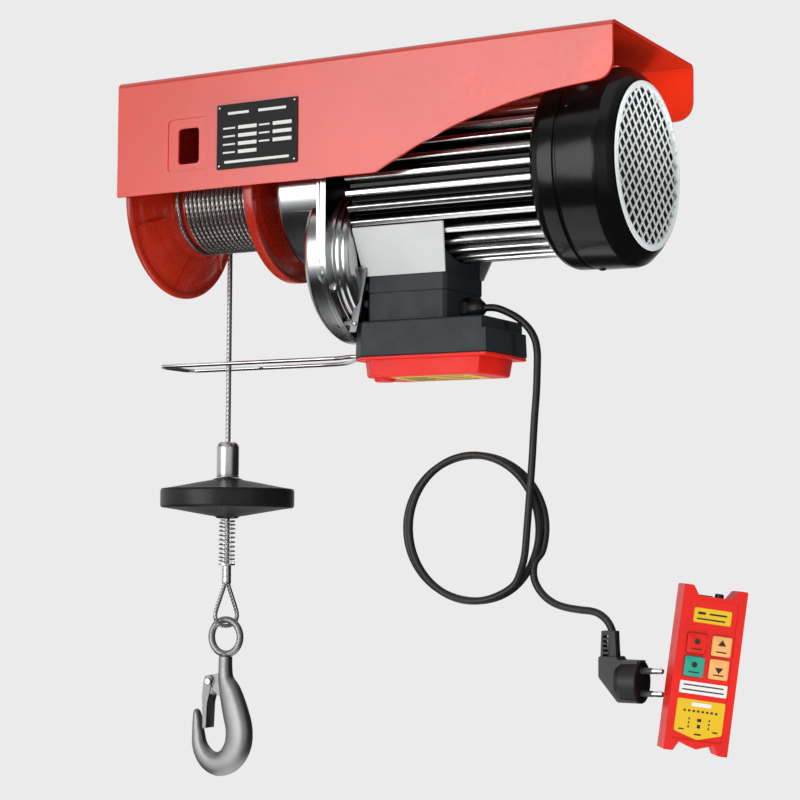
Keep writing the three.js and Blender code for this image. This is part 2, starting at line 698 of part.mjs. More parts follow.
// ---- wireless handset ----
function makeHandset() {
  const { x, y, z, turnDeg, leanDeg, width, height, depth } = HANDSET;
  const handset = new THREE.Group();
  handset.position.set(x, y, z);
  handset.rotation.set(0, THREE.MathUtils.degToRad(leanDeg), THREE.MathUtils.degToRad(turnDeg), "ZYX");
  hoist.add(handset);
  const w = width / 2;
  const h = height / 2;
  const silhouette = outline([
    [-w, h],
    [-w + 8, h],
    [-w + 13.5, h - 8],
    [w - 13.5, h - 8],
    [w - 8, h],
    [w, h],
    [w, -h],
    [w - 8, -h],
    [w - 12.5, -h + 8],
    [0, -h + 3],
    [12.5 - w, -h + 8],
    [8 - w, -h],
    [-w, -h],
  ]);
  const cavity = roundedRectangle(3 - w, w - 3, 14 - h, h - 13, 3);
  const buttonX = [-10.4, 10.4];
  const buttonZ = [20.8, 1.8];
  let front = cut(alongY(silhouette, -depth / 2, -GAP / 2), alongY(cavity, -depth / 2 + 2.5, 0, 4));
  for (const bx of buttonX) {
    for (const bz of buttonZ) front = cut(front, block(bx - 8.5, bx + 8.5, -depth, -5, bz - 8.5, bz + 8.5));
  }
  const back = cut(alongY(silhouette, GAP / 2, depth / 2), alongY(cavity, 0, depth / 2 - 2.5, 4));
  place(handset, "handset_front_shell", FINISH.plasticRed, front);
  place(handset, "handset_back_shell", FINISH.plasticRed, back);
  const board = block(-20, 20, -3.4, -1.8, -45, 45);
  place(handset, "handset_board", FINISH.board, board);
  const looks = [FINISH.plasticRed, FINISH.teal, FINISH.amber, FINISH.amber];
  const names = ["button_stop", "button_start", "button_up", "button_down"];
  const cap = roundedRectangle(-8.2, 8.2, -8.2, 8.2, 2);
  names.forEach((name, i) => {
    const mesh = place(handset, name, looks[i], alongY(cap, -depth / 2 - 1.2, -6, 3));
    mesh.position.set(buttonX[i >> 1], 0, buttonZ[i & 1]);
  });
}

makeFrame();
makeDrum();
makeGearcase();
makeMotor();
makeControlBox();
makeLever();
makeRopeEnd();
makeHook();
makeCord();
makePlug();
makeHandset();

export default hoist;
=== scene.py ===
import json
import math

import bmesh
import bpy
from mathutils import Matrix, Vector
from mathutils.geometry import tessellate_polygon


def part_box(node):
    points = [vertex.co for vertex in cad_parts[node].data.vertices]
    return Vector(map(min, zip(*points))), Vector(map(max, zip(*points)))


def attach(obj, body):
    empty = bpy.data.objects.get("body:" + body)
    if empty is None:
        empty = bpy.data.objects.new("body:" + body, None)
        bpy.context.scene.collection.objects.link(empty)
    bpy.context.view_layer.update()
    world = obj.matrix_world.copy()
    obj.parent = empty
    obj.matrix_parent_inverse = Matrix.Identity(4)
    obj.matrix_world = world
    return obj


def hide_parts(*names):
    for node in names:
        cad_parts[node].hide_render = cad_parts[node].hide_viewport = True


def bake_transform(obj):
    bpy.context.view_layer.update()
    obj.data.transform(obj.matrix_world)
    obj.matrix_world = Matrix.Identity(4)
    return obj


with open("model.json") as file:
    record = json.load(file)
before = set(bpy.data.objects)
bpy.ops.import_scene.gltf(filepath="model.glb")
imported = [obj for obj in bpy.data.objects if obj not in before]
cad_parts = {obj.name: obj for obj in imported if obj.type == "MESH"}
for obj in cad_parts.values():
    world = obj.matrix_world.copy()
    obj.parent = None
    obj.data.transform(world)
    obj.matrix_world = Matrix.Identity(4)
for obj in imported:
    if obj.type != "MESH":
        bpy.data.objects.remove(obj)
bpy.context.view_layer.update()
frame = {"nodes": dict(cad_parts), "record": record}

MM = 0.001
TAU = 2 * math.pi


# ---------------------------------------------------------------- places, read from the frame
def middle(node):
    low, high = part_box(node)
    return Vector([(a + b) / 2 for a, b in zip(low, high)])


def low(node):
    return Vector(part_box(node)[0])


def high(node):
    return Vector(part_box(node)[1])


def span(node, axis="x"):
    """Where a node begins and ends along an axis."""
    i = "xyz".index(axis)
    return low(node)[i], high(node)[i]


SHAFT_Z = middle("rotor_shaft").z
SHAFT = (0, 0, SHAFT_Z)
LAYSHAFT = (0, 0, middle("layshaft").z)
ROPE = middle("hanging_rope")
ROPE_RADIUS = 2.5 * MM


# ---------------------------------------------------------------- camera, at the photograph's angle
CAMERA_DEG = {"azimuth": 29.2, "pitch": 4.1, "roll": 0.3}
CAMERA_AT = (0.8827, -1.575, -0.428)
FOCAL_LENGTH = 90.06
SENSOR_WIDTH = 36


def make_camera():
    azimuth, pitch, roll = (math.radians(angle) for angle in CAMERA_DEG.values())
    level = math.cos(pitch)
    forward = Vector((-math.sin(azimuth) * level, math.cos(azimuth) * level, math.sin(pitch)))
    side = Vector((math.cos(azimuth), math.sin(azimuth), 0))
    up = side.cross(forward)
    right = math.cos(roll) * side + math.sin(roll) * up
    top = math.cos(roll) * up - math.sin(roll) * side
    data = bpy.data.cameras.new("camera")
    data.lens = FOCAL_LENGTH
    data.sensor_width = SENSOR_WIDTH
    data.clip_end = 60
    camera = bpy.data.objects.new("camera", data)
    turn = Matrix((right, top, -forward)).transposed().to_4x4()
    camera.matrix_world = Matrix.Translation(CAMERA_AT) @ turn
    bpy.context.collection.objects.link(camera)
    bpy.context.scene.camera = camera


# ---------------------------------------------------------------- materials
def linear(red, green, blue):
    def channel(v):
        v /= 255
        return v / 12.92 if v <= 0.04045 else ((v + 0.055) / 1.055) ** 2.4

    return (channel(red), channel(green), channel(blue), 1)


def scaled(colour, factor):
    return tuple(min(1, c * factor) for c in colour[:3]) + (1,)


def grey(level):
    return (level, level, level, 1)


class Tree:
    """A node tree, with short calls for the nodes used here."""

    def __init__(self, tree):
        self.tree = tree

    def add(self, kind, **values):
        node = self.tree.nodes.new(kind)
        for key, value in values.items():
            if key in node.inputs:
                node.inputs[key].default_value = value
            else:
                setattr(node, key, value)
        return node

    def link(self, a, b):
        self.tree.links.new(a, b)

    def fed(self, kind, output, **sources):
        """A new node's output, with each named input fed from a socket."""
        node = self.add(kind)
        for name, source in sources.items():
            self.link(source, node.inputs[name])
        return node.outputs[output]

    def share(self, value, start, end):
        """How far the value has come from start to end, from 0 to 1."""
        node = self.add("ShaderNodeMapRange", **{"From Min": start, "From Max": end})
        self.link(value, node.inputs["Value"])
        return node.outputs["Result"]

    def ramp(self, source, stops, interpolation="LINEAR"):
        """The colour, or grey level, that the stops give for the source's value."""
        node = self.add("ShaderNodeValToRGB")
        node.color_ramp.interpolation = interpolation
        elements = node.color_ramp.elements
        while len(elements) < len(stops):
            elements.new(0.5)
        for element, (position, colour) in zip(elements, stops):
            element.position = position
            element.color = colour if hasattr(colour, "__len__") else grey(colour)
        self.link(source, node.inputs["Fac"])
        return node.outputs["Color"]


LOOKS = {}


class Surface(Tree):
    """The node tree of a new material, which LOOKS keeps under the name asked for."""

    def __init__(self, name):
        self.material = bpy.data.materials.new(name)
        LOOKS[name] = self.material
        self.material.use_nodes = True
        super().__init__(self.material.node_tree)
        self.shader = self.tree.nodes["Principled BSDF"]
        self.place = self.add("ShaderNodeTexCoord").outputs["Object"]

    def stretched(self, scale):
        mapping = self.add("ShaderNodeMapping", Scale=scale)
        self.link(self.place, mapping.inputs["Vector"])
        return mapping.outputs["Vector"]

    def noise(self, scale, detail=4, roughness=0.55, vector=None):
        node = self.add("ShaderNodeTexNoise", Scale=scale, Detail=detail, Roughness=roughness)
        self.link(vector or self.place, node.inputs["Vector"])
        return node.outputs["Fac"]

    def mix(self, factor, a, b):
        node = self.add("ShaderNodeMix", data_type="RGBA")
        self.link(factor, node.inputs["Factor"])
        for socket, value in ((node.inputs[6], a), (node.inputs[7], b)):
            self.put(socket, value)
        return node.outputs[2]

    def drift(self, noise, start, end, colour, darker, lighter):
        """The colour, from darker to lighter as the noise goes from start to end."""
        factor = self.ramp(noise, [(start, 0.0), (end, 1.0)])
        return self.mix(factor, scaled(colour, darker), scaled(colour, lighter))

    def bump(self, height, distance, strength=1.0):
        node = self.add("ShaderNodeBump", Strength=strength, Distance=distance)
        self.link(height, node.inputs["Height"])
        return node.outputs["Normal"]

    def edges(self):
        """White along worn outer edges, from the angle between a bevelled and the true normal."""
        bevel = self.add("ShaderNodeBevel", samples=4, Radius=0.0012)
        true = self.add("ShaderNodeNewGeometry").outputs["Normal"]
        dot = self.add("ShaderNodeVectorMath", operation="DOT_PRODUCT")
        self.link(bevel.outputs["Normal"], dot.inputs[0])
        self.link(true, dot.inputs[1])
        return self.ramp(dot.outputs["Value"], [(0.80, 1.0), (0.97, 0.0)])

    def put(self, socket, value):
        """Links the socket to another one, or sets its value."""
        if hasattr(value, "links"):
            self.link(value, socket)
        else:
            socket.default_value = value

    def finish(self, **values):
        names = {"colour": "Base Color", "coat": "Coat Weight", "specular": "Specular IOR Level"}
        for key, value in values.items():
            self.put(self.shader.inputs[names.get(key) or key.replace("_", " ").title()], value)


def painted(name, colour, roughness=0.32, coat=0.5, peel=0.00004, wear=True, dust=0.06, specular=0.5):
    """Sprayed or powder-coated metal: orange peel, faint colour drift, slightly lighter rubbed edges."""
    n = Surface(name)
    base = n.drift(n.noise(14, 5), 0.35, 0.7, colour, 0.93, 1.06)
    if wear:
        patch = n.noise(90, 6, 0.7)
        rub = n.add("ShaderNodeMath", operation="MULTIPLY")
        n.link(n.edges(), rub.inputs[0])
        n.link(n.ramp(patch, [(0.46, 0.0), (0.62, 0.5)]), rub.inputs[1])
        base = n.mix(rub.outputs["Value"], base, scaled(colour, 1.55))
    speck = n.ramp(n.noise(420, 2), [(0.40, roughness - 0.04), (0.65, roughness + dust)])
    normal = n.bump(n.noise(650, 2), peel, 0.6)
    n.finish(colour=base, roughness=speck, normal=normal, specular=specular, coat=coat, coat_roughness=0.12)


def metal(name, colour, roughness, grain=(60, 60, 60), depth=0.00001, spread=0.08, stain=0.08):
    """Bare metal: stretched fine grain in the surface and soft uneven gloss."""
    n = Surface(name)
    grain_noise = n.noise(18, 6, 0.65, n.stretched(grain))
    base = n.drift(n.noise(22, 4), 0.3, 0.72, colour, 1 - stain, 1)
    gloss = n.ramp(grain_noise, [(0.3, max(0.03, roughness - spread)), (0.7, roughness + spread)])
    n.finish(colour=base, roughness=gloss, metallic=1.0, normal=n.bump(grain_noise, depth, 0.5))


def finned(name):
    """Cast aluminium fins: bright on their tips, dull and dark down in the gaps between them, where the
    colour carries painted shade.
    """
    n = Surface(name)
    split = n.add("ShaderNodeSeparateXYZ")
    n.link(n.place, split.inputs["Vector"])
    level = n.add("ShaderNodeMath", operation="SUBTRACT")
    n.link(split.outputs["Z"], level.inputs[0])
    level.inputs[1].default_value = SHAFT_Z
    across = n.fed("ShaderNodeCombineXYZ", "Vector", X=split.outputs["Y"], Y=level.outputs["Value"])
    radius = n.add("ShaderNodeVectorMath", operation="LENGTH")
    n.link(across, radius.inputs[0])
    # painted shade: the base colour runs from near black at the fin roots to bright at their tips
    out = n.share(radius.outputs["Value"], 0.0625, 0.0722)
    shade = n.ramp(out, [(0.0, 0.02), (0.4, 0.20), (0.7, 0.78), (1.0, 0.84)])
    grain = n.noise(18, 6, 0.65, n.stretched((2, 90, 90)))
    gloss = n.ramp(grain, [(0.3, 0.14), (0.7, 0.28)])
    n.finish(colour=shade, roughness=gloss, metallic=1.0, normal=n.bump(grain, 0.000012, 0.5))


def moulded(name, colour, roughness=0.5, texture=900, coat=0.0, specular=0.5):
    """Moulded plastic or rubber: fine spark-eroded texture and a little uneven gloss."""
    n = Surface(name)
    base = n.drift(n.noise(18, 5), 0.35, 0.7, colour, 0.92, 1.08)
    grain = n.noise(texture, 3, 0.6)
    gloss = n.ramp(n.noise(60, 4), [(0.35, roughness - 0.05), (0.7, roughness + 0.05)])
    normal = n.bump(grain, 0.00003, 0.5)
    n.finish(colour=base, roughness=gloss, normal=normal, specular=specular, coat=coat, coat_roughness=0.2)


def printed(name, colour):
    """A printed or adhesive label: slightly glossy film with faint ripples."""
    n = Surface(name)
    ripple = n.noise(35, 3)
    base = n.drift(n.noise(8, 3), 0.3, 0.7, colour, 0.94, 1.04)
    gloss = n.ramp(ripple, [(0.3, 0.32), (0.7, 0.46)])
    n.finish(colour=base, roughness=gloss, normal=n.bump(ripple, 0.0001, 0.25))


def circuit_board(name):
    n = Surface(name)
    bricks = n.add("ShaderNodeTexVoronoi", Scale=320.0, distance="CHEBYCHEV")
    n.link(n.place, bricks.inputs["Vector"])
    tracks = n.ramp(bricks.outputs["Distance"], [(0.12, linear(120, 160, 90)), (0.3, linear(30, 96, 52))])
    n.finish(colour=tracks, roughness=0.45, normal=n.bump(bricks.outputs["Distance"], 0.00005, 0.4))


def enamelled_wire(name):
    n = Surface(name)
    wave = n.add("ShaderNodeTexWave", Scale=260.0, Distortion=1.5, wave_type="RINGS", rings_direction="X")
    n.link(n.place, wave.inputs["Vector"])
    # painted shade and highlight: the copper darkens in the grooves between windings and lightens on their
    # crests, following the bump's rings
    shade = n.ramp(wave.outputs["Fac"], [(0.2, linear(110, 45, 16)), (0.8, linear(200, 110, 58))])
    normal = n.bump(wave.outputs["Fac"], 0.0003, 0.8)
    n.finish(colour=shade, roughness=0.3, metallic=0.85, normal=normal)


def make_materials():
    """One material for each record slot, then those that only the details use."""
    painted("frame_red", linear(216, 46, 20), 0.34, 0.8, specular=0.8)
    painted("drum_red", linear(178, 36, 12), 0.26, 0.5, 0.00002)
    moulded("plastic_red", linear(226, 26, 14), 0.42, coat=0.1)
    metal("aluminium", (0.74, 0.75, 0.76, 1), 0.2, (2, 90, 90), 0.000012)
    metal("case_chrome", (0.62, 0.63, 0.64, 1), 0.18, (40, 40, 40), 0.000002, 0.04)
    metal("steel", (0.56, 0.57, 0.58, 1), 0.3)
    metal("hook_steel", (0.36, 0.36, 0.36, 1), 0.46, (30, 30, 30), 0.00004, 0.06, 0.16)
    metal("chrome", (0.86, 0.87, 0.88, 1), 0.12, (30, 30, 30), 0.000003, 0.04)
    painted("black_gloss", linear(12, 12, 13), 0.2, 0.08, 0.000006, wear=False, dust=0.03, specular=0.25)
    moulded("box_grey", linear(40, 45, 48), 0.46, specular=0.3)
    painted("grille_white", linear(226, 232, 232), 0.38, 0.2)
    painted("weight_black", linear(24, 24, 24), 0.36, 0.0, 0.00006, wear=False, specular=0.3)
    moulded("rubber_black", linear(22, 22, 23), 0.45, 700)
    moulded("plug_black", linear(18, 18, 19), 0.45, 1100)
    enamelled_wire("copper")
    circuit_board("board")
    moulded("case_plastic", linear(215, 216, 210), 0.4)
    moulded("fan_black", linear(30, 30, 31), 0.5)
    moulded("button_teal", linear(38, 160, 138), 0.38, coat=0.2)
    moulded("button_amber", linear(244, 176, 104), 0.4, coat=0.2)
    metal("rope_wire", (0.50, 0.50, 0.49, 1), 0.3, (50, 50, 50), 0.00001, 0.08, 0.2)
    printed("label_yellow", linear(232, 190, 34))
    printed("label_white", linear(238, 238, 234))
    printed("label_ink", linear(44, 40, 32))
    painted("plate_black", linear(30, 30, 30), 0.4, 0.0, 0.00001, wear=False, specular=0.15)
    # painted shadow: near-black for the disc that stands in for the shade behind the fan grille
    moulded("painted_shadow_black", linear(10, 10, 11), 0.7)
    moulded("pin_sleeve", linear(80, 82, 84), 0.4)
    metal("sleeve_steel", (0.60, 0.61, 0.62, 1), 0.26, (90, 90, 2), 0.00002)
    metal("latch_steel", (0.26, 0.26, 0.26, 1), 0.40, (40, 40, 8), 0.00001)
    metal("strap_steel", (0.22, 0.22, 0.23, 1), 0.42, (60, 60, 10), 0.00001)
    # painted reflection: light grey paint on the aluminium pads in place of the bright reflection they show
    painted("pad_painted_reflection", linear(214, 216, 215), 0.35, 0.3, 0.00001, wear=False)
    finned("fin_metal_painted_shade")


# ---------------------------------------------------------------- mesh helpers
def new_object(name, mesh):
    obj = bpy.data.objects.new(name, mesh)
    bpy.context.collection.objects.link(obj)
    return obj


def mesh_of(name, vertices, faces, smooth=True, sharp_deg=38):
    mesh = bpy.data.meshes.new(name)
    mesh.from_pydata([tuple(v) for v in vertices], [], faces)
    tidy = bmesh.new()
    tidy.from_mesh(mesh)
    bmesh.ops.remove_doubles(tidy, verts=tidy.verts, dist=1e-7)
    bmesh.ops.recalc_face_normals(tidy, faces=tidy.faces)
    tidy.to_mesh(mesh)
    tidy.free()
    if smooth:
        mesh.shade_smooth()
        mesh.set_sharp_from_angle(angle=math.radians(sharp_deg))
    return mesh


def dress(obj, look, body, slot, *replaced, blended=None):
    """Gives obj its material, the body it rides on and the CAD nodes it stands for; slot is not used."""
    obj.data.materials.clear()
    obj.data.materials.append(LOOKS[look])
    if blended:
        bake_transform(obj)
    else:
        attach(obj, body)
    if replaced:
        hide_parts(*replaced)
    return obj


def add(name, mesh, look, body, slot, *replaced, bevel=None):
    """A dressed piece made of one mesh, bevelled if asked."""
    obj = new_object(name, mesh)
    if bevel:
        bevelled(obj, *bevel)
    return dress(obj, look, body, slot, *replaced)


def side_faces(count, ring, closed=False):
    """Faces between successive rings of points, and back to the first ring if closed."""
    faces = []
    for i in range(count if closed else count - 1):
        a, b = i * ring, ((i + 1) % count) * ring
        for k in range(ring):
            m = (k + 1) % ring
            faces.append((a + k, a + m, b + m, b + k))
    return faces


def capped_faces(count, ring):
    """Faces between successive rings of points, and over both ends."""
    caps = [tuple(range(ring)), tuple(range((count - 1) * ring, count * ring))]
    return side_faces(count, ring) + caps


def filleted(points, radius, steps=3):
    """The polygon with each corner rounded, by no more than 45% of its shorter side."""
    pts = [Vector(p) for p in points]
    out = []
    count = len(pts)
    for i, p in enumerate(pts):
        before = pts[i - 1] - p
        after = pts[(i + 1) % count] - p
        r = min(radius, 0.45 * before.length, 0.45 * after.length)
        if r < 1e-6 or before.length < 1e-9 or after.length < 1e-9:
            out.append(p)
            continue
        a = p + before.normalized() * r
        b = p + after.normalized() * r
        for k in range(steps + 1):
            t = k / steps
            out.append((1 - t) ** 2 * a + 2 * t * (1 - t) * p + t * t * b)
    return out


AXIS_TURN = {
    "x": Matrix(((0, 0, 1), (1, 0, 0), (0, 1, 0))),
    "y": Matrix(((1, 0, 0), (0, 0, 1), (0, -1, 0))),
    "z": Matrix.Identity(3),
}


def lathe_mesh(name, profile, centre, axis="x", steps=96, fillet=0.0008, sharp_deg=38, wave=None):
    """A closed (along, radius) profile turned about an axis through centre; along is absolute."""
    points = filleted(profile, fillet) if fillet else [Vector(p) for p in profile]
    turn = AXIS_TURN[axis]
    centre = Vector(centre)
    base = centre.copy()
    base["xyz".index(axis)] = 0
    vertices = []
    for k in range(steps):
        angle = TAU * k / steps
        for along, radius in points:
            r = max(radius, 0)
            if wave:
                r = wave(along, r, angle)
            vertices.append(base + turn @ Vector((r * math.cos(angle), r * math.sin(angle), along)))
    return mesh_of(name, vertices, side_faces(steps, len(points), closed=True), sharp_deg=sharp_deg)


def prism_mesh(name, outline, lo, hi, axis="z", fillet=0.0, holes=(), fillet_steps=3):
    """An outline, with holes, extruded from lo to hi along an axis.

    Its points are (y, z) along x, (x, z) along y and (x, y) along z.
    """
    rings = [filleted(outline, fillet, fillet_steps) if fillet else [Vector(p) for p in outline]]
    rings += [[Vector(p) for p in hole] for hole in holes]
    lift = {
        "x": lambda p, h: (h, p[0], p[1]),
        "y": lambda p, h: (p[0], h, p[1]),
        "z": lambda p, h: (p[0], p[1], h),
    }[axis]
    flat = [p for ring in rings for p in ring]
    total = len(flat)
    vertices = [lift(p, lo) for p in flat] + [lift(p, hi) for p in flat]
    if holes:
        triangles = tessellate_polygon([[Vector((p[0], p[1], 0)) for p in ring] for ring in rings])
        faces = [tuple(t) for t in triangles] + [tuple(i + total for i in reversed(t)) for t in triangles]
    else:
        faces = [tuple(range(total)), tuple(range(2 * total - 1, total - 1, -1))]
    start = 0
    for ring in rings:
        n = len(ring)
        for i in range(n):
            a, b = start + i, start + (i + 1) % n
            faces.append((a, b, b + total, a + total))
        start += n
    return mesh_of(name, vertices, faces, smooth=False)


def bevelled(obj, width=0.0006, segments=3, angle=40):
    bevel = obj.modifiers.new("bevel", "BEVEL")
    bevel.width = width
    bevel.segments = segments
    bevel.limit_method = "ANGLE"
    bevel.angle_limit = math.radians(angle)
    bevel.use_clamp_overlap = True
    obj.data.shade_smooth()
    weighted = obj.modifiers.new("weighted", "WEIGHTED_NORMAL")
    weighted.keep_sharp = False
    return obj


def applied(obj):
    """obj with its modifiers made part of its mesh."""
    mesh = bpy.data.meshes.new_from_object(obj.evaluated_get(bpy.context.evaluated_depsgraph_get()))
    obj.modifiers.clear()
    obj.data = mesh
    return obj


def carved(obj, *tools, operation="DIFFERENCE"):
    """obj with the tool meshes cut away, or joined on."""
    for tool in tools:
        other = new_object("tool", tool)
        boolean = obj.modifiers.new("boolean", "BOOLEAN")
        boolean.operation = operation
        boolean.solver = "EXACT"
        boolean.object = other
        applied(obj)
        bpy.data.objects.remove(other)
    return obj


def cut(mesh, *tools, operation="DIFFERENCE"):
    """A mesh with the tool meshes cut away, or joined on."""
    obj = carved(new_object("blank", mesh), *tools, operation=operation)
    mesh = obj.data
    bpy.data.objects.remove(obj)
    return mesh


def turned_shading(obj, axes):
    """Applies obj's modifiers and shades its turned walls as true cylinders about x axes at (y, z)."""
    applied(obj)
    mesh = obj.data
    shades = [corner.vector.copy() for corner in mesh.corner_normals]
    for face in mesh.polygons:
        wall = Vector((0, face.normal.y, face.normal.z))
        if wall.length < 0.2:
            for index in face.loop_indices:
                shades[index] = face.normal.copy()
            continue
        wall.normalize()
        for index in face.loop_indices:
            point = mesh.vertices[mesh.loops[index].vertex_index].co
            for y, z in axes:
                radial = Vector((0, point.y - y, point.z - z))
                if radial.length < 0.04 or abs(wall.dot(radial.normalized())) < 0.9985:
                    continue
                radial = math.copysign(1, wall.dot(radial)) * radial.normalized()
                along = face.normal.x
                shades[index] = Vector((along, 0, 0)) + radial * math.sqrt(max(0, 1 - along * along))
                break
    mesh.normals_split_custom_set(shades)
    return obj


def merged(name, meshes):
    """Several meshes as one."""
    out = bmesh.new()
    for mesh in meshes:
        out.from_mesh(mesh)
    joined = bpy.data.meshes.new(name)
    out.to_mesh(joined)
    out.free()
    return joined


def moved(mesh, matrix):
    mesh.transform(matrix)
    return mesh


def smooth_path(points, per_span=8):
    """Points along a uniform Catmull-Rom curve through the given ones."""
    pts = [Vector(p) for p in points]
    pts = [2 * pts[0] - pts[1], *pts, 2 * pts[-1] - pts[-2]]
    out = []
    for p0, p1, p2, p3 in zip(pts, pts[1:], pts[2:], pts[3:]):
        slope = p2 - p0
        bend = 2 * p0 - 5 * p1 + 4 * p2 - p3
        twist = 3 * p1 - p0 - 3 * p2 + p3
        for k in range(per_span):
            t = k / per_span
            out.append(0.5 * (2 * p1 + slope * t + bend * t * t + twist * t ** 3))
    out.append(pts[-2])
    return out


def distances(points):
    """The distance along the path from its first point to each point."""
    out = [0.0]
    for a, b in zip(points, points[1:]):
        out.append(out[-1] + (b - a).length)
    return out


def evenly(points, step):
    """The path resampled to points about one step apart."""
    lengths = distances(points)
    count = max(2, round(lengths[-1] / step))
    out, j = [], 0
    for k in range(count + 1):
        s = lengths[-1] * k / count
        while j < len(points) - 2 and lengths[j + 1] < s:
            j += 1
        t = (s - lengths[j]) / max(lengths[j + 1] - lengths[j], 1e-12)
        out.append(points[j].lerp(points[j + 1], min(max(t, 0), 1)))
    return out


def sweep_mesh(name, path, section, closed=False, sharp_deg=60):
    """A tube along path. section(index) gives a ring's points as (side, up) pairs."""
    count = len(path)
    tangents = []
    for i in range(count):
        a = path[i - 1] if closed or i else path[0]
        b = path[(i + 1) % count] if closed or i + 1 < count else path[-1]
        tangents.append((b - a).normalized())
    seed = Vector((0, 0, 1)) if abs(tangents[0].z) < 0.8 else Vector((0, 1, 0))
    side = tangents[0].cross(seed).normalized()
    vertices = []
    for i, (p, t) in enumerate(zip(path, tangents)):
        side = (side - t * side.dot(t)).normalized()
        up = t.cross(side)
        vertices += [p + side * a + up * b for a, b in section(i)]
    ring = len(vertices) // count
    faces = side_faces(count, ring, closed=True) if closed else capped_faces(count, ring)
    return mesh_of(name, vertices, faces, sharp_deg=sharp_deg)


def round_section(radius, sides=14):
    ring = circle_points((0, 0), radius, sides)
    return lambda index: ring


def wire(name, points, radius, sides=14, step=None, closed=False):
    path = evenly(points, step) if step else points
    return sweep_mesh(name, path, round_section(radius, sides), closed)


def rope_mesh(name, path, radius=ROPE_RADIUS, lay=0.026, strands=6, per_strand=4):
    """A stranded wire rope: a scalloped section that turns once in each lay length."""
    sides = strands * per_strand
    lengths = distances(path)

    def section(index):
        turn = TAU * lengths[index] / lay
        ring = []
        for k in range(sides):
            angle = TAU * k / sides
            dip = abs(math.sin(strands * angle / 2)) ** 0.7
            r = radius * (0.80 + 0.20 * dip)
            ring.append((r * math.cos(angle + turn), r * math.sin(angle + turn)))
        return ring

    return sweep_mesh(name, path, section, sharp_deg=180)


def circle_points(centre, radius, count=32, start=0.0):
    angles = [start + TAU * k / count for k in range(count)]
    return [(centre[0] + radius * math.cos(a), centre[1] + radius * math.sin(a)) for a in angles]


def rounded_outline(lo, hi, radius, steps=6):
    return filleted([lo, (hi[0], lo[1]), hi, (lo[0], hi[1])], radius, steps)


def chamfer_outline(lo, hi, cut):
    return [
        (lo[0] + cut, lo[1]),
        (hi[0] - cut, lo[1]),
        (hi[0], lo[1] + cut),
        (hi[0], hi[1] - cut),
        (hi[0] - cut, hi[1]),
        (lo[0] + cut, hi[1]),
        (lo[0], hi[1] - cut),
        (lo[0], lo[1] + cut),
    ]


def seated(mesh, centre, axis):
    """The mesh with its z axis turned to axis and its origin at centre."""
    turn = Vector((0, 0, 1)).rotation_difference(Vector(axis).normalized()).to_matrix().to_4x4()
    return moved(mesh, Matrix.Translation(centre) @ turn)


def hex_bolt(name, centre, axis, head=0.0055, height=0.0035, washer=0.0011):
    """A hexagon head with a chamfered top on a washer, seated at centre and standing along axis."""
    meshes = []
    if washer:
        ring = [(0, 0), (0, head * 1.22), (washer, head * 1.22), (washer, 0)]
        meshes.append(lathe_mesh(name, ring, (0, 0, 0), "z", 24, 0.0002))
    crown = bmesh.new()
    rings = []
    for z, r in ((washer, head), (washer + height * 0.72, head), (washer + height, head * 0.82)):
        rings.append([crown.verts.new((x, y, z)) for x, y in circle_points((0, 0), r, 6)])
    for a, b in zip(rings, rings[1:]):
        for k in range(6):
            crown.faces.new((a[k], a[(k + 1) % 6], b[(k + 1) % 6], b[k]))
    crown.faces.new(rings[-1])
    crown.faces.new(list(reversed(rings[0])))
    mesh = bpy.data.meshes.new(name)
    crown.to_mesh(mesh)
    crown.free()
    meshes.append(mesh)
    return seated(merged(name, meshes), centre, axis)


def pan_screw(name, centre, axis, head=0.0035, height=0.0018):
    """A domed cross-head screw seated at centre."""
    dome = [(0, 0), (0, head), (height * 0.45, head)]
    dome += [(height * 0.85, head * 0.7), (height, head * 0.3), (height, 0)]
    slots = []
    for x, y in ((0.55, 0.14), (0.14, 0.55)):
        corners = [(-head * x, -head * y), (head * x, -head * y), (head * x, head * y), (-head * x, head * y)]
        slots.append(prism_mesh("slot", corners, height * 0.45, height * 1.5))
    return seated(cut(lathe_mesh(name, dome, (0, 0, 0), "z", 20, 0.0001), *slots), centre, axis)


# ---------------------------------------------------------------- mains cord
CORD_RADIUS = 3.25 * MM
GLAND_RIBS = 16
CORD_STEP = 3 * MM
COIL = {"centre": Vector((0.078, 0, -0.414)), "turn_deg": 10.5, "tall": 0.0641}
NARROW_TURN, WIDE_TURN = 0.059, 0.0639


def coil_point(angle_deg, half_width, side):
    turn = math.radians(COIL["turn_deg"])
    across = Vector((math.cos(turn), math.sin(turn), 0))
    normal = Vector((math.sin(turn), -math.cos(turn), 0))
    a = math.radians(angle_deg)
    in_plane = across * half_width * math.cos(a) + Vector((0, 0, COIL["tall"] * math.sin(a)))
    return COIL["centre"] + in_plane + normal * side


def eased(value, start, end):
    t = min(max((value - start) / (end - start), 0), 1)
    return t * t * (3 - 2 * t)


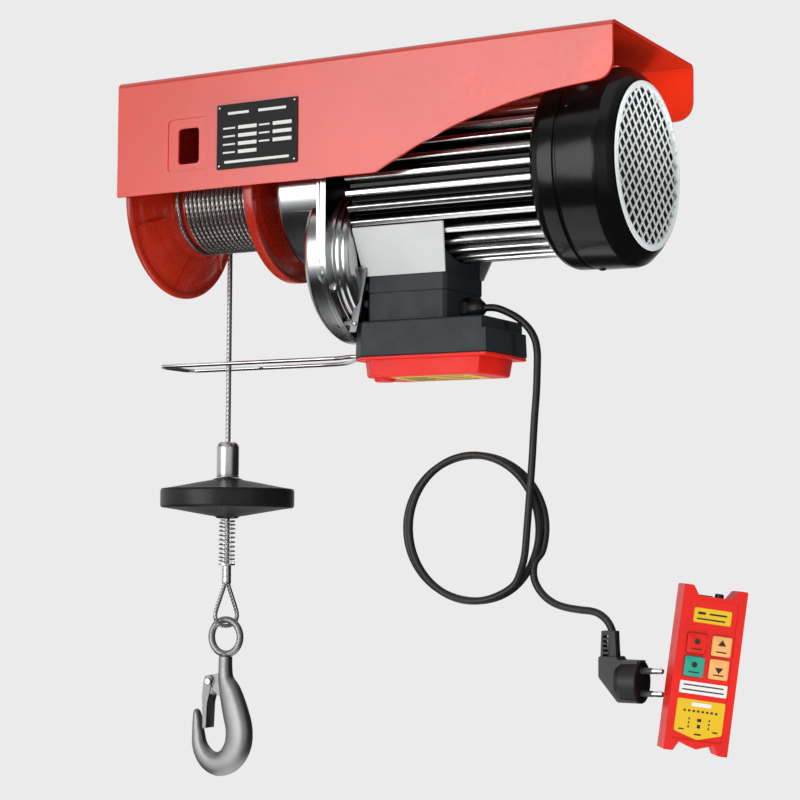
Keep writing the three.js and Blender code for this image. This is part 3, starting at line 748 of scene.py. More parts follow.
def cord_points():
    """The lead's centre line: down in front of the coil, twice round it clockwise, then out to the plug."""
    gland = high("cable_gland").x
    height = middle("cable_gland").z
    down = [
        (gland - 0.012, 0, height), (gland - 0.001, 0, height), (0.098, 0, height - 0.0004),
        (0.109, 0, -0.2238), (0.121, 0, -0.2305), (0.131, 0, -0.2395), (0.137, 0, -0.2495),
        (0.1392, 0, -0.260), (0.1394, 0, -0.270), (0.1386, 0, -0.294), (0.1365, 0, -0.321),
        (0.1346, -0.0003, -0.354), (0.1328, -0.0007, -0.380), (0.1300, -0.0012, -0.416),
        (0.1275, 0.0002, -0.4354), (0.1236, 0.0017, -0.4488),
    ]
    start, turned, step = -50, 688, 16
    coil = []
    for k in range(turned // step + 1):
        angle = k * step
        half_width = NARROW_TURN + (WIDE_TURN - NARROW_TURN) * eased(angle, 330, 400)
        side = 0.0034 * (1 - 2 * eased(angle, 250, 375)) - 0.0018 * eased(angle, 560, 670)
        coil.append(coil_point(start - angle, half_width, side))
    tail = [
        (0.1325, 0.0114, -0.4423), (0.1307, 0.0109, -0.4496), (0.1316, 0.0104, -0.4581),
        (0.1359, 0.0099, -0.4665), (0.1428, 0.0094, -0.4737), (0.1518, 0.0088, -0.4790),
        (0.1627, 0.0081, -0.4822), (0.1761, 0.0075, -0.4840), (0.1878, 0.0069, -0.4850),
        (0.1960, 0.0064, -0.4878), (0.2027, 0.0060, -0.4934), (0.2068, 0.0060, -0.5010),
        (0.2080, 0.0060, -0.5090),
    ]
    return down, coil, tail


def make_cord():
    down, coil, tail = cord_points()
    path = evenly(smooth_path(down + coil + tail), CORD_STEP)
    jacket = wire("mains_cord", path, CORD_RADIUS, 16)
    cord = add("mains_cord", jacket, "rubber_black", "hoist_body", "rubber_black")
    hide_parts("power_cord", "cord_coil", "cord_tail")

    plug = make_plug()
    gland = make_gland()


def make_gland():
    centre = middle("cable_gland")
    x0, x1 = span("cable_gland")
    nut = prism_mesh("nut", circle_points((0, centre.z), 0.0104, 6, math.pi / 6), x0, x0 + 0.006, "x")
    dome_profile = [
        (x0 + 0.004, 0.0036), (x0 + 0.004, 0.0088), (x0 + 0.010, 0.0088), (x0 + 0.0155, 0.0082),
        (x1 - 0.0005, 0.0052), (x1, 0.0046), (x1, 0.0036),
    ]
    dome = lathe_mesh("dome", dome_profile, centre, "x", 48, 0.0008)
    rib_outline = rounded_outline((-0.0006, 0.0080), (0.0006, 0.0093), 0.0003, 2)
    ribs = []
    for k in range(GLAND_RIBS):
        rib = prism_mesh("rib", rib_outline, x0 + 0.007, x0 + 0.0145, "x")
        rib.transform(Matrix.Translation((0, 0, centre.z)) @ Matrix.Rotation(TAU * k / GLAND_RIBS, 4, "X"))
        ribs.append(rib)
    mesh = merged("cable_gland", [nut, dome] + ribs)
    return add("gland", mesh, "rubber_black", "hoist_body", "rubber_black", "cable_gland")


def make_plug():
    lo, hi = low("plug_body"), high("plug_body")
    axis_x = 0.2065
    y = middle("plug_pin_upper").y
    top = hi.z
    relief_end = top - 0.027
    spine_x = axis_x + 0.0017
    ladder = [
        (axis_x - 0.0088, relief_end), (axis_x - 0.0076, top), (axis_x + 0.0048, top),
        (axis_x + 0.0060, relief_end),
    ]
    relief = prism_mesh("relief", ladder, y - 0.0048, y + 0.0048, "y", 0.0008)
    cuts = []
    for k in range(5):
        z = top - 0.0050 - 0.0039 * k
        slot = rounded_outline((axis_x - 0.0062, z - 0.0010), (axis_x - 0.0012, z + 0.0010), 0.0006, 3)
        cuts.append(prism_mesh("slot", slot, y - 0.012, y + 0.012, "y"))
    relief = cut(relief, *cuts)
    spine = [(relief_end, 0), (relief_end, 0.0062), (top - 0.0006, 0.0044), (top, 0.0040), (top, 0)]
    relief = cut(relief, lathe_mesh("spine", spine, (spine_x, y, 0), "z", 40, 0.0006), operation="UNION")

    left, right, bottom = lo.x, hi.x, lo.z
    side = [
        (left, top - 0.0215), (left, top - 0.039), (left + 0.0175, bottom + 0.001),
        (right - 0.001, bottom + 0.001), (right - 0.0035, bottom + 0.0185),
        (right - 0.001, top - 0.0243), (left + 0.0175, top - 0.0243),
        (left + 0.0165, top - 0.0215),
    ]
    hub = new_object("plug_moulding", prism_mesh("plug_hub", side, y - 0.0095, y + 0.0095, "y", 0.0016))
    face_z = (middle("plug_pin_upper").z + middle("plug_pin_lower").z) / 2
    face_profile = [
        (right - 0.021, 0), (right - 0.021, 0.0145), (right - 0.016, 0.0176),
        (right - 0.0015, 0.0182), (right, 0.0178), (right, 0.0165), (right - 0.0012, 0.0155),
        (right - 0.0012, 0),
    ]
    face = lathe_mesh("face", face_profile, (0, y, face_z), "x", 64, 0.0006)
    carved(hub, relief, face, operation="UNION")
    bevelled(hub, 0.0005, 2, 35)
    dress(hub, "plug_black", "hoist_body", "plug_black", "plug_body")

    pieces = [hub]
    for node in ("plug_pin_upper", "plug_pin_lower"):
        at = (0, y, middle(node).z)
        tip = high(node).x
        blade = [(right - 0.004, 0), (right - 0.004, 0.0024), (tip - 0.0012, 0.0024), (tip, 0.0012), (tip, 0)]
        pin_mesh = lathe_mesh(node + "_metal", blade, at, "x", 32, 0.0004)
        pin = add(node + "_metal", pin_mesh, "chrome", "hoist_body", "chrome", node)
        start, end = right - 0.002, right + 0.009
        collar = [(start, 0.0023), (start, 0.0027), (end, 0.0026), (end, 0.0023)]
        collar_mesh = lathe_mesh(node + "_collar", collar, at, "x", 32, 0.0003)
        seat = add(node + "_collar", collar_mesh, "pin_sleeve", "hoist_body", "plug_black")
        pieces += [pin, seat]
    return pieces


# ---------------------------------------------------------------- channel frame
def frame_edge():
    """The flanges' lower edge from the drum end to the fan end, as (x, z)."""
    half, deep = high("frame_channel").x, low("frame_channel").z
    edge = [(-half + 0.0005, deep)]
    edge += [(-half + 0.006 + 0.027 * k, deep) for k in range(10)]
    edge += [(0.024, deep), (0.0275, deep + 0.0006), (0.031, deep + 0.0022), (0.040, deep + 0.0065)]
    start, end = Vector((0.049, -0.097)), Vector((0.231, -0.050))
    pull_a, pull_b = Vector((0.095, -0.075)), Vector((0.150, -0.055))
    for k in range(25):
        t = k / 24
        s = 1 - t
        p = s ** 3 * start + 3 * t * s ** 2 * pull_a + 3 * t * t * s * pull_b + t ** 3 * end
        edge.append((p.x, p.y))
    corner = Vector((half, -0.050))
    last = Vector((half, -0.031))
    for k in range(1, 13):
        t = k / 12
        p = (1 - t) ** 2 * end + 2 * t * (1 - t) * corner + t * t * last
        edge.append((p.x, p.y))
    return edge


def frame_ring(depth):
    """Outer and inner (y, z) points of the channel's section at one place along it."""
    half = high("frame_channel").y
    sheet, bend, steps = 0.003, 0.0055, 6
    mid = depth * 0.5 - bend * 0.5
    outer = [(-half, depth), (-half, mid), (-half, -bend)]
    inner = [(-half + sheet, depth), (-half + sheet, mid), (-half + sheet, -bend)]
    for sign, first in ((-1, math.pi), (1, math.pi / 2)):
        for k in range(steps + 1):
            a = first - math.pi / 2 * k / steps
            at = (sign * (half - bend), -bend)
            outer.append((at[0] + bend * math.cos(a), at[1] + bend * math.sin(a)))
            inner.append((at[0] + (bend - sheet) * math.cos(a), at[1] + (bend - sheet) * math.sin(a)))
    outer += [(half, mid), (half, depth)]
    inner += [(half - sheet, mid), (half - sheet, depth)]
    return outer, inner


def make_frame():
    vertices = []
    edge = frame_edge()
    for x, z in edge:
        outer, inner = frame_ring(z)
        vertices += [(x, *p) for p in outer + list(reversed(inner))]
    ring = len(vertices) // len(edge)
    faces = side_faces(len(edge), ring)
    for base in (0, (len(edge) - 1) * ring):
        for k in range(ring // 2 - 1):
            faces.append((base + k, base + k + 1, base + ring - 2 - k, base + ring - 1 - k))
    channel = new_object("channel", mesh_of("channel", vertices, faces, smooth=False))

    y0 = low("frame_channel").y
    slot_outline = rounded_outline((-0.181, -0.083), (-0.158, -0.050), 0.004)
    slot = prism_mesh("slot", slot_outline, y0 - 0.01, y0 + 0.01, "y")
    pocket_outline = rounded_outline((-0.192, -0.0895), (-0.147, -0.041), 0.005)
    pocket = prism_mesh("pocket", pocket_outline, y0 - 0.01, y0 + 0.0009, "y")
    holes = [
        prism_mesh("hole", circle_points((x, y), 0.0055, 40), -0.01, 0.01)
        for x in (-0.190, 0.190)
        for y in (-0.055, 0.055)
    ]
    carved(channel, slot, pocket, *holes)
    bevelled(channel, 0.0007, 3, 35)
    dress(channel, "frame_red", "hoist_body", "frame_red", "frame_channel")

    rows = [(0.060, -0.0033), (0.060, -0.030), (0.026, -0.128)]
    bracket = [(-y, z) for y, z in rows] + rows[::-1]
    x0, x1 = span("end_bracket")
    hole = circle_points((0, SHAFT_Z), 0.0083, 32)
    plate = new_object("drum_bracket", prism_mesh("drum_bracket", bracket, x0, x1, "x", 0.006))
    carved(plate, prism_mesh("hole", hole, x0 - 0.01, x1 + 0.01, "x"))
    bevelled(plate, 0.0006, 2)
    dress(plate, "frame_red", "hoist_body", "frame_red", "end_bracket")
    for k, y in enumerate((-0.042, 0.042)):
        bolt = hex_bolt("bracket_bolt_%d" % (k + 1), (x0, y, -0.018), (-1, 0, 0), 0.0050, 0.0034)
        bolt.transform(Matrix.Translation((0.0004, 0, 0)))
        add(bolt.name, bolt, "steel", "hoist_body", "steel")
    make_nameplate()


def make_nameplate():
    lo, hi = low("nameplate"), high("nameplate")
    face = lo.y
    outline = rounded_outline((lo.x, lo.z), (hi.x, hi.z), 0.0012, 4)
    plate = prism_mesh("rating_plate", outline, face, hi.y, "y")
    add("rating_plate", plate, "plate_black", "hoist_body", "black_gloss", "nameplate", bevel=(0.0002, 2))

    width, height = hi.x - lo.x, hi.z - lo.z
    bars = []

    def bar(u0, u1, v0, v1):
        start = (lo.x + u0 * width, lo.z + v0 * height)
        end = (lo.x + u1 * width, lo.z + v1 * height)
        shape = rounded_outline(start, end, 0.0002, 2)
        bars.append(prism_mesh("bar", shape, face - 0.00025, face + 0.0001, "y"))

    bar(0.14, 0.40, 0.835, 0.875)
    bar(0.52, 0.86, 0.835, 0.875)
    for v in (0.60, 0.475, 0.35):
        bar(0.08, 0.23, v + 0.015, v + 0.040)
        bar(0.27, 0.50, v, v + 0.055)
        bar(0.53, 0.66, v + 0.015, v + 0.040)
        bar(0.70, 0.93, v, v + 0.055)
    bar(0.08, 0.23, 0.24, 0.265)
    bar(0.27, 0.50, 0.225, 0.28)
    bar(0.10, 0.90, 0.085, 0.125)
    lines = merged("rating_fields", bars)
    add("rating_fields", lines, "label_white", "hoist_body", "black_gloss")
    rivet = [(0, 0), (0, 0.0013), (0.0005, 0.0011), (0.0008, 0.0005), (0.0008, 0)]
    for k, (u, v) in enumerate(((0.035, 0.05), (0.965, 0.05), (0.035, 0.95), (0.965, 0.95))):
        at = (lo.x + u * width, face, lo.z + v * height)
        dome = lathe_mesh("rivet", rivet, (0, 0, 0), "z", 16, 0.0001)
        dome.transform(Matrix.Translation(at) @ Matrix.Rotation(math.pi / 2, 4, "X"))
        add("rating_rivet_%d" % (k + 1), dome, "aluminium", "hoist_body", "aluminium")


# ---------------------------------------------------------------- drum and the rope on it
def make_drum():
    lo, hi = span("rope_drum")
    barrel = 0.0415
    profile = [
        (-0.228, 0.0163), (-0.216, 0.0163), (-0.216, 0.0365), (-0.126, 0.0365), (-0.126, 0.0123),
        (-0.112, 0.0123), (-0.1125, 0.030), (-0.1115, 0.034), (-0.1115, 0.060), (-0.1130, 0.064),
        (-0.1120, 0.0725), (hi - 0.001, 0.0762), (hi, 0.0782), (hi - 0.001, 0.0795),
        (-0.117, 0.0795), (-0.118, 0.0785), (-0.118, 0.0760), (-0.1160, 0.0730), (-0.1162, 0.0480),
        (-0.1185, 0.0425), (-0.1200, barrel), (-0.2195, barrel), (-0.2235, 0.0475),
        (-0.2255, 0.0530), (-0.2290, 0.0600), (-0.2302, 0.0632), (-0.2345, 0.0725),
        (-0.2362, 0.0750), (-0.2385, 0.0800), (-0.2375, 0.0830), (-0.2380, 0.0858),
        (-0.2398, 0.0870), (-0.2420, 0.0870), (lo, 0.0855), (lo, 0.0820), (-0.2300, 0.0510),
    ]
    body = new_object("drum_casting", lathe_mesh("drum_casting", profile, SHAFT, "x", 144, 0.0009, 50))
    dress(body, "drum_red", "drum", "drum_red", "rope_drum")
    outline = [(-0.2262, 0.050), (-0.2382, 0.0795), (-0.2362, 0.0805), (-0.2225, 0.052)]
    ribs = []
    for k in range(6):
        rib = prism_mesh("rib", outline, -0.0013, 0.0013, "z", 0.0006)
        rib.transform(Matrix.Translation(SHAFT) @ Matrix.Rotation(TAU * k / 6 + 0.35, 4, "X"))
        ribs.append(rib)
    add("drum_ribs", merged("drum_ribs", ribs), "drum_red", "drum", "drum_red")

    pitch_radius = barrel + ROPE_RADIUS + 0.0002
    first, last = low("wound_rope").x + ROPE_RADIUS, high("wound_rope").x - ROPE_RADIUS
    pitch = 0.00495
    lay = TAU * pitch_radius / 10
    turns = []
    for n in range(-30, 31):
        x = ROPE.x + n * pitch
        if n == 0 or not first <= x <= last:
            continue
        path = []
        for k in range(73):
            angle = math.pi + TAU * k / 72
            path.append(Vector((x, pitch_radius * math.sin(angle), SHAFT_Z - pitch_radius * math.cos(angle))))
        turns.append(rope_mesh("turn", path, lay=lay, per_strand=3))
    winding = merged("rope_winding", turns)
    add("rope_winding", winding, "rope_wire", "drum", "steel", "wound_rope")

    clamp_outline = rounded_outline((-0.1305, -0.007), (-0.1225, 0.007), 0.0015, 3)
    clamp = prism_mesh("clamp", clamp_outline, 0.0468, 0.0495, "z")
    screw = hex_bolt("clamp_screw", (-0.1265, 0, 0.0495), (0, 0, 1), 0.0035, 0.0026, washer=0)
    clamp_mesh = merged("rope_clamp", [clamp, screw])
    clamp_mesh.transform(Matrix.Translation(SHAFT) @ Matrix.Rotation(2.2, 4, "X"))
    add("rope_clamp", clamp_mesh, "steel", "drum", "steel")

    x0, x1 = span("stub_axle")
    axle = [(x0, 0), (x0, 0.0066), (x0 + 0.0014, 0.008), (x1, 0.008), (x1, 0)]
    mesh = lathe_mesh("drum_axle", axle, middle("stub_axle"), "x", 48, 0.0004)
    add("drum_axle", mesh, "steel", "hoist_body", "steel", "stub_axle")


# ---------------------------------------------------------------- rope's free part
def make_hanging_rope():
    x, y = ROPE.x, ROPE.y
    wrap = []
    for k in range(60):
        angle = math.pi / 2 + math.radians(285) * (1 - k / 59)
        wrap.append(Vector((x, y * math.sin(angle), SHAFT_Z - y * math.cos(angle))))
    last_turn = rope_mesh("rope_last_turn", wrap, ROPE_RADIUS * 0.98)
    add("rope_last_turn", last_turn, "rope_wire", "hoist_body", "steel")

    bottom = low("hanging_rope").z
    drop = evenly([Vector((x, y, SHAFT_Z + 0.0005)), Vector((x, y, bottom))], 0.0016)
    mesh = rope_mesh("rope_fall", drop)
    fall = new_object("rope_fall", mesh)
    ends = ((x, y, SHAFT_Z), (x, y, bottom))
    dress(fall, "rope_wire", None, "steel", "hanging_rope", blended=("hoist_body", "rope_end", *ends))


def make_rope_end():
    x, y = ROPE.x, ROPE.y
    lo, hi = span("limit_weight", "z")
    weight_profile = [
        (hi, 0.0029), (hi - 0.0004, 0.0118), (hi - 0.0022, 0.0150), (hi - 0.0046, 0.0290),
        (hi - 0.0090, 0.0520), (hi - 0.0102, 0.0590), (hi - 0.0108, 0.0640), (hi - 0.0128, 0.0650),
        (hi - 0.0272, 0.0650), (hi - 0.0292, 0.0640), (hi - 0.0298, 0.0590), (hi - 0.0312, 0.0500),
        (hi - 0.0370, 0.0170), (hi - 0.0376, 0.0120), (lo + 0.0004, 0.0100), (lo, 0.0029),
    ]
    disc = lathe_mesh("limit_disc", weight_profile, (x, y, 0), "z", 144, 0.0016, 60)
    add("limit_disc", disc, "weight_black", "limit_weight", "weight_black", "limit_weight")

    base, top = span("weight_sleeve", "z")
    tube_profile = [
        (top, 0.0029), (top, 0.0072), (top - 0.0012, 0.0092), (top - 0.0045, 0.0108),
        (base + 0.0022, 0.0108), (base + 0.0022, 0.0102), (base + 0.0014, 0.0102),
        (base + 0.0014, 0.0112), (base, 0.0112), (base, 0.0029),
    ]
    mesh = lathe_mesh("limit_sleeve", tube_profile, (x, y, 0), "z", 72, 0.0007)
    add("limit_sleeve", mesh, "sleeve_steel", "limit_weight", "chrome", "weight_sleeve")

    spring_lo, spring_hi = span("buffer_spring", "z")
    coils, wire_radius, coil_radius, per_turn = 10.5, 0.0007, 0.0076, 28
    travel = spring_hi - spring_lo - 2 * wire_radius
    squeeze = (-0.35, 1.35)
    first, last = eased(0, *squeeze), eased(1, *squeeze)
    path = []
    for k in range(int(coils * per_turn) + 1):
        share = k / (coils * per_turn)
        rise = (eased(share, *squeeze) - first) / (last - first)
        a = TAU * coils * share
        z = spring_lo + wire_radius + travel * rise
        path.append(Vector((x + coil_radius * math.cos(a), y + coil_radius * math.sin(a), z)))
    spring = new_object("spring_coil", wire("spring_coil", path, wire_radius, 10))
    ends = ((x, y, spring_lo), (x, y, spring_hi))
    dress(spring, "chrome", None, "chrome", "buffer_spring", blended=("rope_end", "limit_weight", *ends))

    base, top = span("crimp_ferrule", "z")
    ferrule = [
        (top, 0.0029), (top, 0.0082), (top - 0.0016, 0.0082), (top - 0.0020, 0.0044),
        (base + 0.001, 0.0045), (base, 0.0040), (base, 0), (top - 0.0012, 0),
    ]

    def pressed(along, radius, angle):
        if along > top - 0.0022 or radius < 0.0035:
            return radius
        crimp = 0.5 + 0.5 * math.cos(TAU * (along - base) / 0.006)
        return radius * (1 - 0.05 * abs(math.sin(angle)) * crimp)

    mesh = lathe_mesh("rope_ferrule", ferrule_detail(ferrule), (x, y, 0), "z", 48, 0.0, 40, pressed)
    add("rope_ferrule", mesh, "sleeve_steel", "rope_end", "aluminium", "crimp_ferrule")

    eye_lo = low("rope_eye").z + 0.002
    turn = Matrix.Rotation(math.radians(60), 3, "Z")
    route = [
        (-0.0022, 0, base + 0.004), (-0.0024, 0, base - 0.002), (-0.0060, 0, base - 0.012),
        (-0.0116, 0, eye_lo + 0.0115), (-0.0086, 0, eye_lo + 0.0030), (0.0, 0, eye_lo),
        (0.0086, 0, eye_lo + 0.0030), (0.0116, 0, eye_lo + 0.0115), (0.0060, 0, base - 0.012),
        (0.0024, 0, base - 0.002), (0.0022, 0, base + 0.004),
    ]
    points = [Vector((x, y, 0)) + turn @ Vector(p) for p in route]
    loop = rope_mesh("rope_loop", evenly(smooth_path(points, 10), 0.0012), radius=0.0021, lay=0.020)
    add("rope_loop", loop, "rope_wire", "rope_end", "steel", "rope_eye")


def ferrule_detail(profile):
    """The ferrule's profile with its long side cut into short steps, so that the crimps can press it in."""
    out = []
    for a, b in zip(profile, profile[1:] + profile[:1]):
        steps = max(1, round(abs(b[0] - a[0]) / 0.0008)) if a[1] > 0.003 and b[1] > 0.003 else 1
        for k in range(steps):
            t = k / steps
            out.append((a[0] + (b[0] - a[0]) * t, a[1] + (b[1] - a[1]) * t))
    return out


# ---------------------------------------------------------------- swivel hook
def make_hook():
    x, y = ROPE.x, ROPE.y
    ring_top = high("hook_eye").z
    wire_radius, radius = 0.0033, 0.0165
    centre_z = ring_top - radius - wire_radius
    ring_path = [Vector((a, y, b)) for a, b in circle_points((x, centre_z), radius, 72)]
    eye_obj = new_object("eye_forging", wire("eye_forging", ring_path, wire_radius, 18, closed=True))
    stem = [
        (low("hook_eye").z, 0), (low("hook_eye").z, 0.0029), (centre_z - radius - 0.0035, 0.0030),
        (centre_z - radius - 0.0020, 0.0042), (centre_z - radius + 0.0005, 0.0048),
        (centre_z - radius + 0.0012, 0),
    ]
    carved(eye_obj, lathe_mesh("stem", stem, (x, y, 0), "z", 36, 0.0004), operation="UNION")
    eye_obj.data.shade_smooth()
    dress(eye_obj, "hook_steel", "hook_eye", "hook_steel", "hook_eye")

    stations = [
        (0, -0.5380, 0.0062, 0.0062), (0, -0.5500, 0.0064, 0.0064),
        (0.0010, -0.5600, 0.0075, 0.0070), (0.0060, -0.5720, 0.0110, 0.0080),
        (0.0120, -0.5900, 0.0130, 0.0090), (0.0165, -0.6070, 0.0135, 0.0095),
        (0.0150, -0.6230, 0.0135, 0.0095), (0.0060, -0.6360, 0.0125, 0.0095),
        (-0.0070, -0.6410, 0.0115, 0.0090), (-0.0200, -0.6365, 0.0095, 0.0080),
        (-0.0285, -0.6250, 0.0075, 0.0068), (-0.0310, -0.6100, 0.0056, 0.0058),
        (-0.0320, -0.5980, 0.0042, 0.0050), (-0.0330, -0.5920, 0.0030, 0.0038),
        (-0.0336, -0.5895, 0.0012, 0.0018),
    ]
    centre = smooth_path([Vector((x + sx, y, sz)) for sx, sz, _, _ in stations], 6)
    sizes = smooth_path([Vector((wide, thick, 0)) for _, _, wide, thick in stations], 6)
    vertices = []
    sides, power = 28, 0.82
    for i, p in enumerate(centre):
        a = centre[max(i - 1, 0)]
        b = centre[min(i + 1, len(centre) - 1)]
        along = (b - a).normalized()
        across = Vector((0, 1, 0)).cross(along).normalized()
        wide, thick = sizes[i].x, sizes[i].y
        for k in range(sides):
            angle = TAU * k / sides
            c, s = math.cos(angle), math.sin(angle)
            u = math.copysign(abs(c) ** power, c) * wide
            v = math.copysign(abs(s) ** power, s) * thick
            vertices.append(p + across * u + Vector((0, 1, 0)) * v)
    forging = mesh_of("hook_forging", vertices, capped_faces(len(centre), sides), sharp_deg=80)
    hook = new_object("hook_forging", forging)

    pivot = middle("latch_pin")
    boss_profile = [(y - 0.005, 0), (y - 0.005, 0.0052), (y + 0.005, 0.0052), (y + 0.005, 0)]
    boss = lathe_mesh("boss", boss_profile, pivot, "y", 40, 0.0014)
    web_outline = [
        (pivot.x - 0.001, pivot.z + 0.0062), (x - 0.003, pivot.z + 0.0085),
        (x + 0.001, pivot.z - 0.004), (x - 0.0035, pivot.z - 0.0150),
        (pivot.x + 0.002, pivot.z - 0.0062),
    ]
    web = prism_mesh("web", web_outline, y - 0.0044, y + 0.0044, "y", 0.002)
    bore = prism_mesh("bore", circle_points((pivot.x, pivot.z), 0.0023, 28), y - 0.02, y + 0.02, "y")
    carved(hook, boss, web, operation="UNION")
    carved(hook, bore)
    hook.data.shade_smooth()
    hook.data.set_sharp_from_angle(angle=math.radians(45))
    bevelled(hook, 0.0006, 2, 45)
    dress(hook, "hook_steel", "hook", "hook_steel", "hook_body")


def make_latch():
    pivot = middle("latch_pin")
    y = pivot.y
    cheek = [
        (-0.0056, 0.0), (-0.0042, 0.0052), (0.0008, 0.0062), (0.0042, 0.0034), (0.0012, -0.0110),
        (-0.0014, -0.0205), (-0.0026, -0.0452), (-0.0062, -0.0452), (-0.0073, -0.0150),
    ]
    outline = [(pivot.x + a, pivot.z + b) for a, b in cheek]
    hole = circle_points((pivot.x, pivot.z), 0.0022, 24)
    meshes = []
    for side in (-1, 1):
        y0, y1 = sorted((y + side * 0.0056, y + side * 0.0072))
        meshes.append(prism_mesh("cheek", outline, y0, y1, "y", 0.001, [hole]))
    spine = [(-0.0073, -0.0130), (-0.0066, -0.0300), (-0.0062, -0.0452)]
    spine += [(-0.0046, -0.0452), (-0.0050, -0.0300), (-0.0057, -0.0130)]
    outline = [(pivot.x + a, pivot.z + b) for a, b in spine]
    meshes.append(prism_mesh("spine", outline, y - 0.0060, y + 0.0060, "y", 0.0004))
    latch = new_object("latch_plate", merged("latch_plate", meshes))
    bevelled(latch, 0.0004, 2, 35)
    dress(latch, "latch_steel", "latch", "chrome", "safety_latch")

    lo, hi = span("latch_pin", "y")
    pin_profile = [
        (lo, 0), (lo, 0.0032), (lo + 0.0010, 0.0036), (lo + 0.0016, 0.0036), (lo + 0.0016, 0.0020),
        (hi - 0.0016, 0.0020), (hi - 0.0016, 0.0034), (hi - 0.0008, 0.0034), (hi, 0.0026), (hi, 0),
    ]
    mesh = lathe_mesh("latch_rivet", pin_profile, pivot, "y", 32, 0.0002)
    add("latch_rivet", mesh, "steel", "hook", "steel", "latch_pin")


# ---------------------------------------------------------------- limit lever
def make_lever():
    pivot = Vector((-0.038, 0.022, -0.256))
    near, far = 0.020, 0.075
    end = low("limit_lever").x + 0.0023
    z = pivot.z
    route = [
        (pivot.x, 0.013, z), (pivot.x - 0.012, 0.013, z), (pivot.x - 0.022, 0.0135, z),
        (pivot.x - 0.036, near - 0.0005, z), (pivot.x - 0.050, near, z),
        (pivot.x - 0.110, near, z), (pivot.x - 0.180, near, z), (end + 0.016, near, z),
        (end + 0.005, near + 0.0018, z), (end + 0.0004, near + 0.009, z), (end, near + 0.020, z),
        (end, far - 0.020, z), (end + 0.0004, far - 0.009, z), (end + 0.005, far - 0.0018, z),
        (end + 0.016, far, z), (pivot.x - 0.180, far, z), (pivot.x - 0.110, far, z),
        (pivot.x - 0.070, far - 0.002, z), (pivot.x - 0.050, far - 0.012, z),
        (pivot.x - 0.024, 0.0345, z), (pivot.x - 0.012, 0.031, z), (pivot.x, 0.031, z),
    ]
    loop = wire("lever_wire", smooth_path(route), 0.0020, 16, step=0.0022)
    barrel_profile = [(0.0100, 0.0023), (0.0100, 0.0040), (0.0340, 0.0040), (0.0340, 0.0023)]
    barrel = lathe_mesh("barrel", barrel_profile, pivot, "y", 32, 0.0004)
    lever = new_object("lever_wire", merged("lever_wire", [loop, barrel]))
    dress(lever, "chrome", "limit_lever", "chrome", "limit_lever")
    (_, y0, _), (face, y1, _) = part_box("lever_bracket")
    base_outline = rounded_outline((y0, z - 0.0065), (y1, z + 0.0065), 0.0012)
    base = prism_mesh("base", base_outline, face - 0.0020, face, "x")
    ear_outline = [
        (face - 0.0005, z - 0.0055), (pivot.x, z - 0.0055), (pivot.x - 0.0045, z - 0.003),
        (pivot.x - 0.0050, z), (pivot.x - 0.0045, z + 0.003), (pivot.x, z + 0.0055),
        (face - 0.0005, z + 0.0055),
    ]
    ears = [prism_mesh("ear", ear_outline, a, a + 0.0018, "y", 0.0015) for a in (y0 + 0.0004, y1 - 0.0022)]
    head, neck, end = y0 - 0.0004, y0 + 0.0006, y1 + 0.0004
    pin_profile = [(head, 0), (head, 0.0032), (neck, 0.0032), (neck, 0.0019), (end, 0.0019), (end, 0)]
    pin = lathe_mesh("pin", pin_profile, pivot, "y", 24, 0.0002)
    bracket = new_object("lever_hinge", merged("lever_hinge", [base, *ears, pin]))
    bevelled(bracket, 0.0003, 2)
    dress(bracket, "steel", "hoist_body", "steel", "lever_bracket")
    turns, per_turn, coil_radius, pitch = 5, 20, 0.0052, 0.0009
    coils = []
    for k in range(turns * per_turn + 1):
        a = TAU * k / per_turn
        y = 0.0355 - 0.004 + pitch * k / per_turn
        coils.append(Vector((pivot.x + coil_radius * math.cos(a), y, z + coil_radius * math.sin(a))))
    spring = wire("lever_spring", coils, 0.0005, 8)
    add("lever_spring", spring, "chrome", "hoist_body", "chrome")


# ---------------------------------------------------------------- gearcase
LOBE_Z = -0.168
LOBE = (0, 0, LOBE_Z)


def flange_outline():
    """The gearcase flanges: square at the top with cut corners, round below, as (y, z)."""
    half, top, cut = 0.080, -0.0033, 0.008
    angles = [math.pi * (1 + k / 48) for k in range(49)]
    below = [(half * math.cos(a), LOBE_Z + half * math.sin(a)) for a in angles]
    return [(half, top - cut), (half - cut, top), (cut - half, top), (-half, top - cut)] + below


def flange_bolts(x):
    reach = 0.0735
    places = [(side * reach, z) for side in (-1, 1) for z in (-0.022, -0.092)]
    for angle_deg in (-28, -60, -120, -152):
        a = math.radians(angle_deg)
        places.append((reach * math.cos(a), LOBE_Z + reach * math.sin(a)))
    heads = [hex_bolt("head", (x, y, z), (1, 0, 0), 0.0036, 0.0030) for y, z in places]
    add("flange_bolts", merged("flange_bolts", heads), "case_chrome", "hoist_body", "steel")


def bore_mesh(start, end, radius, centre, steps):
    """A plain cylinder along x, to cut a room or a bearing seat with."""
    return lathe_mesh("bore", [(start, 0), (start, radius), (end, radius), (end, 0)], centre, "x", steps, 0)


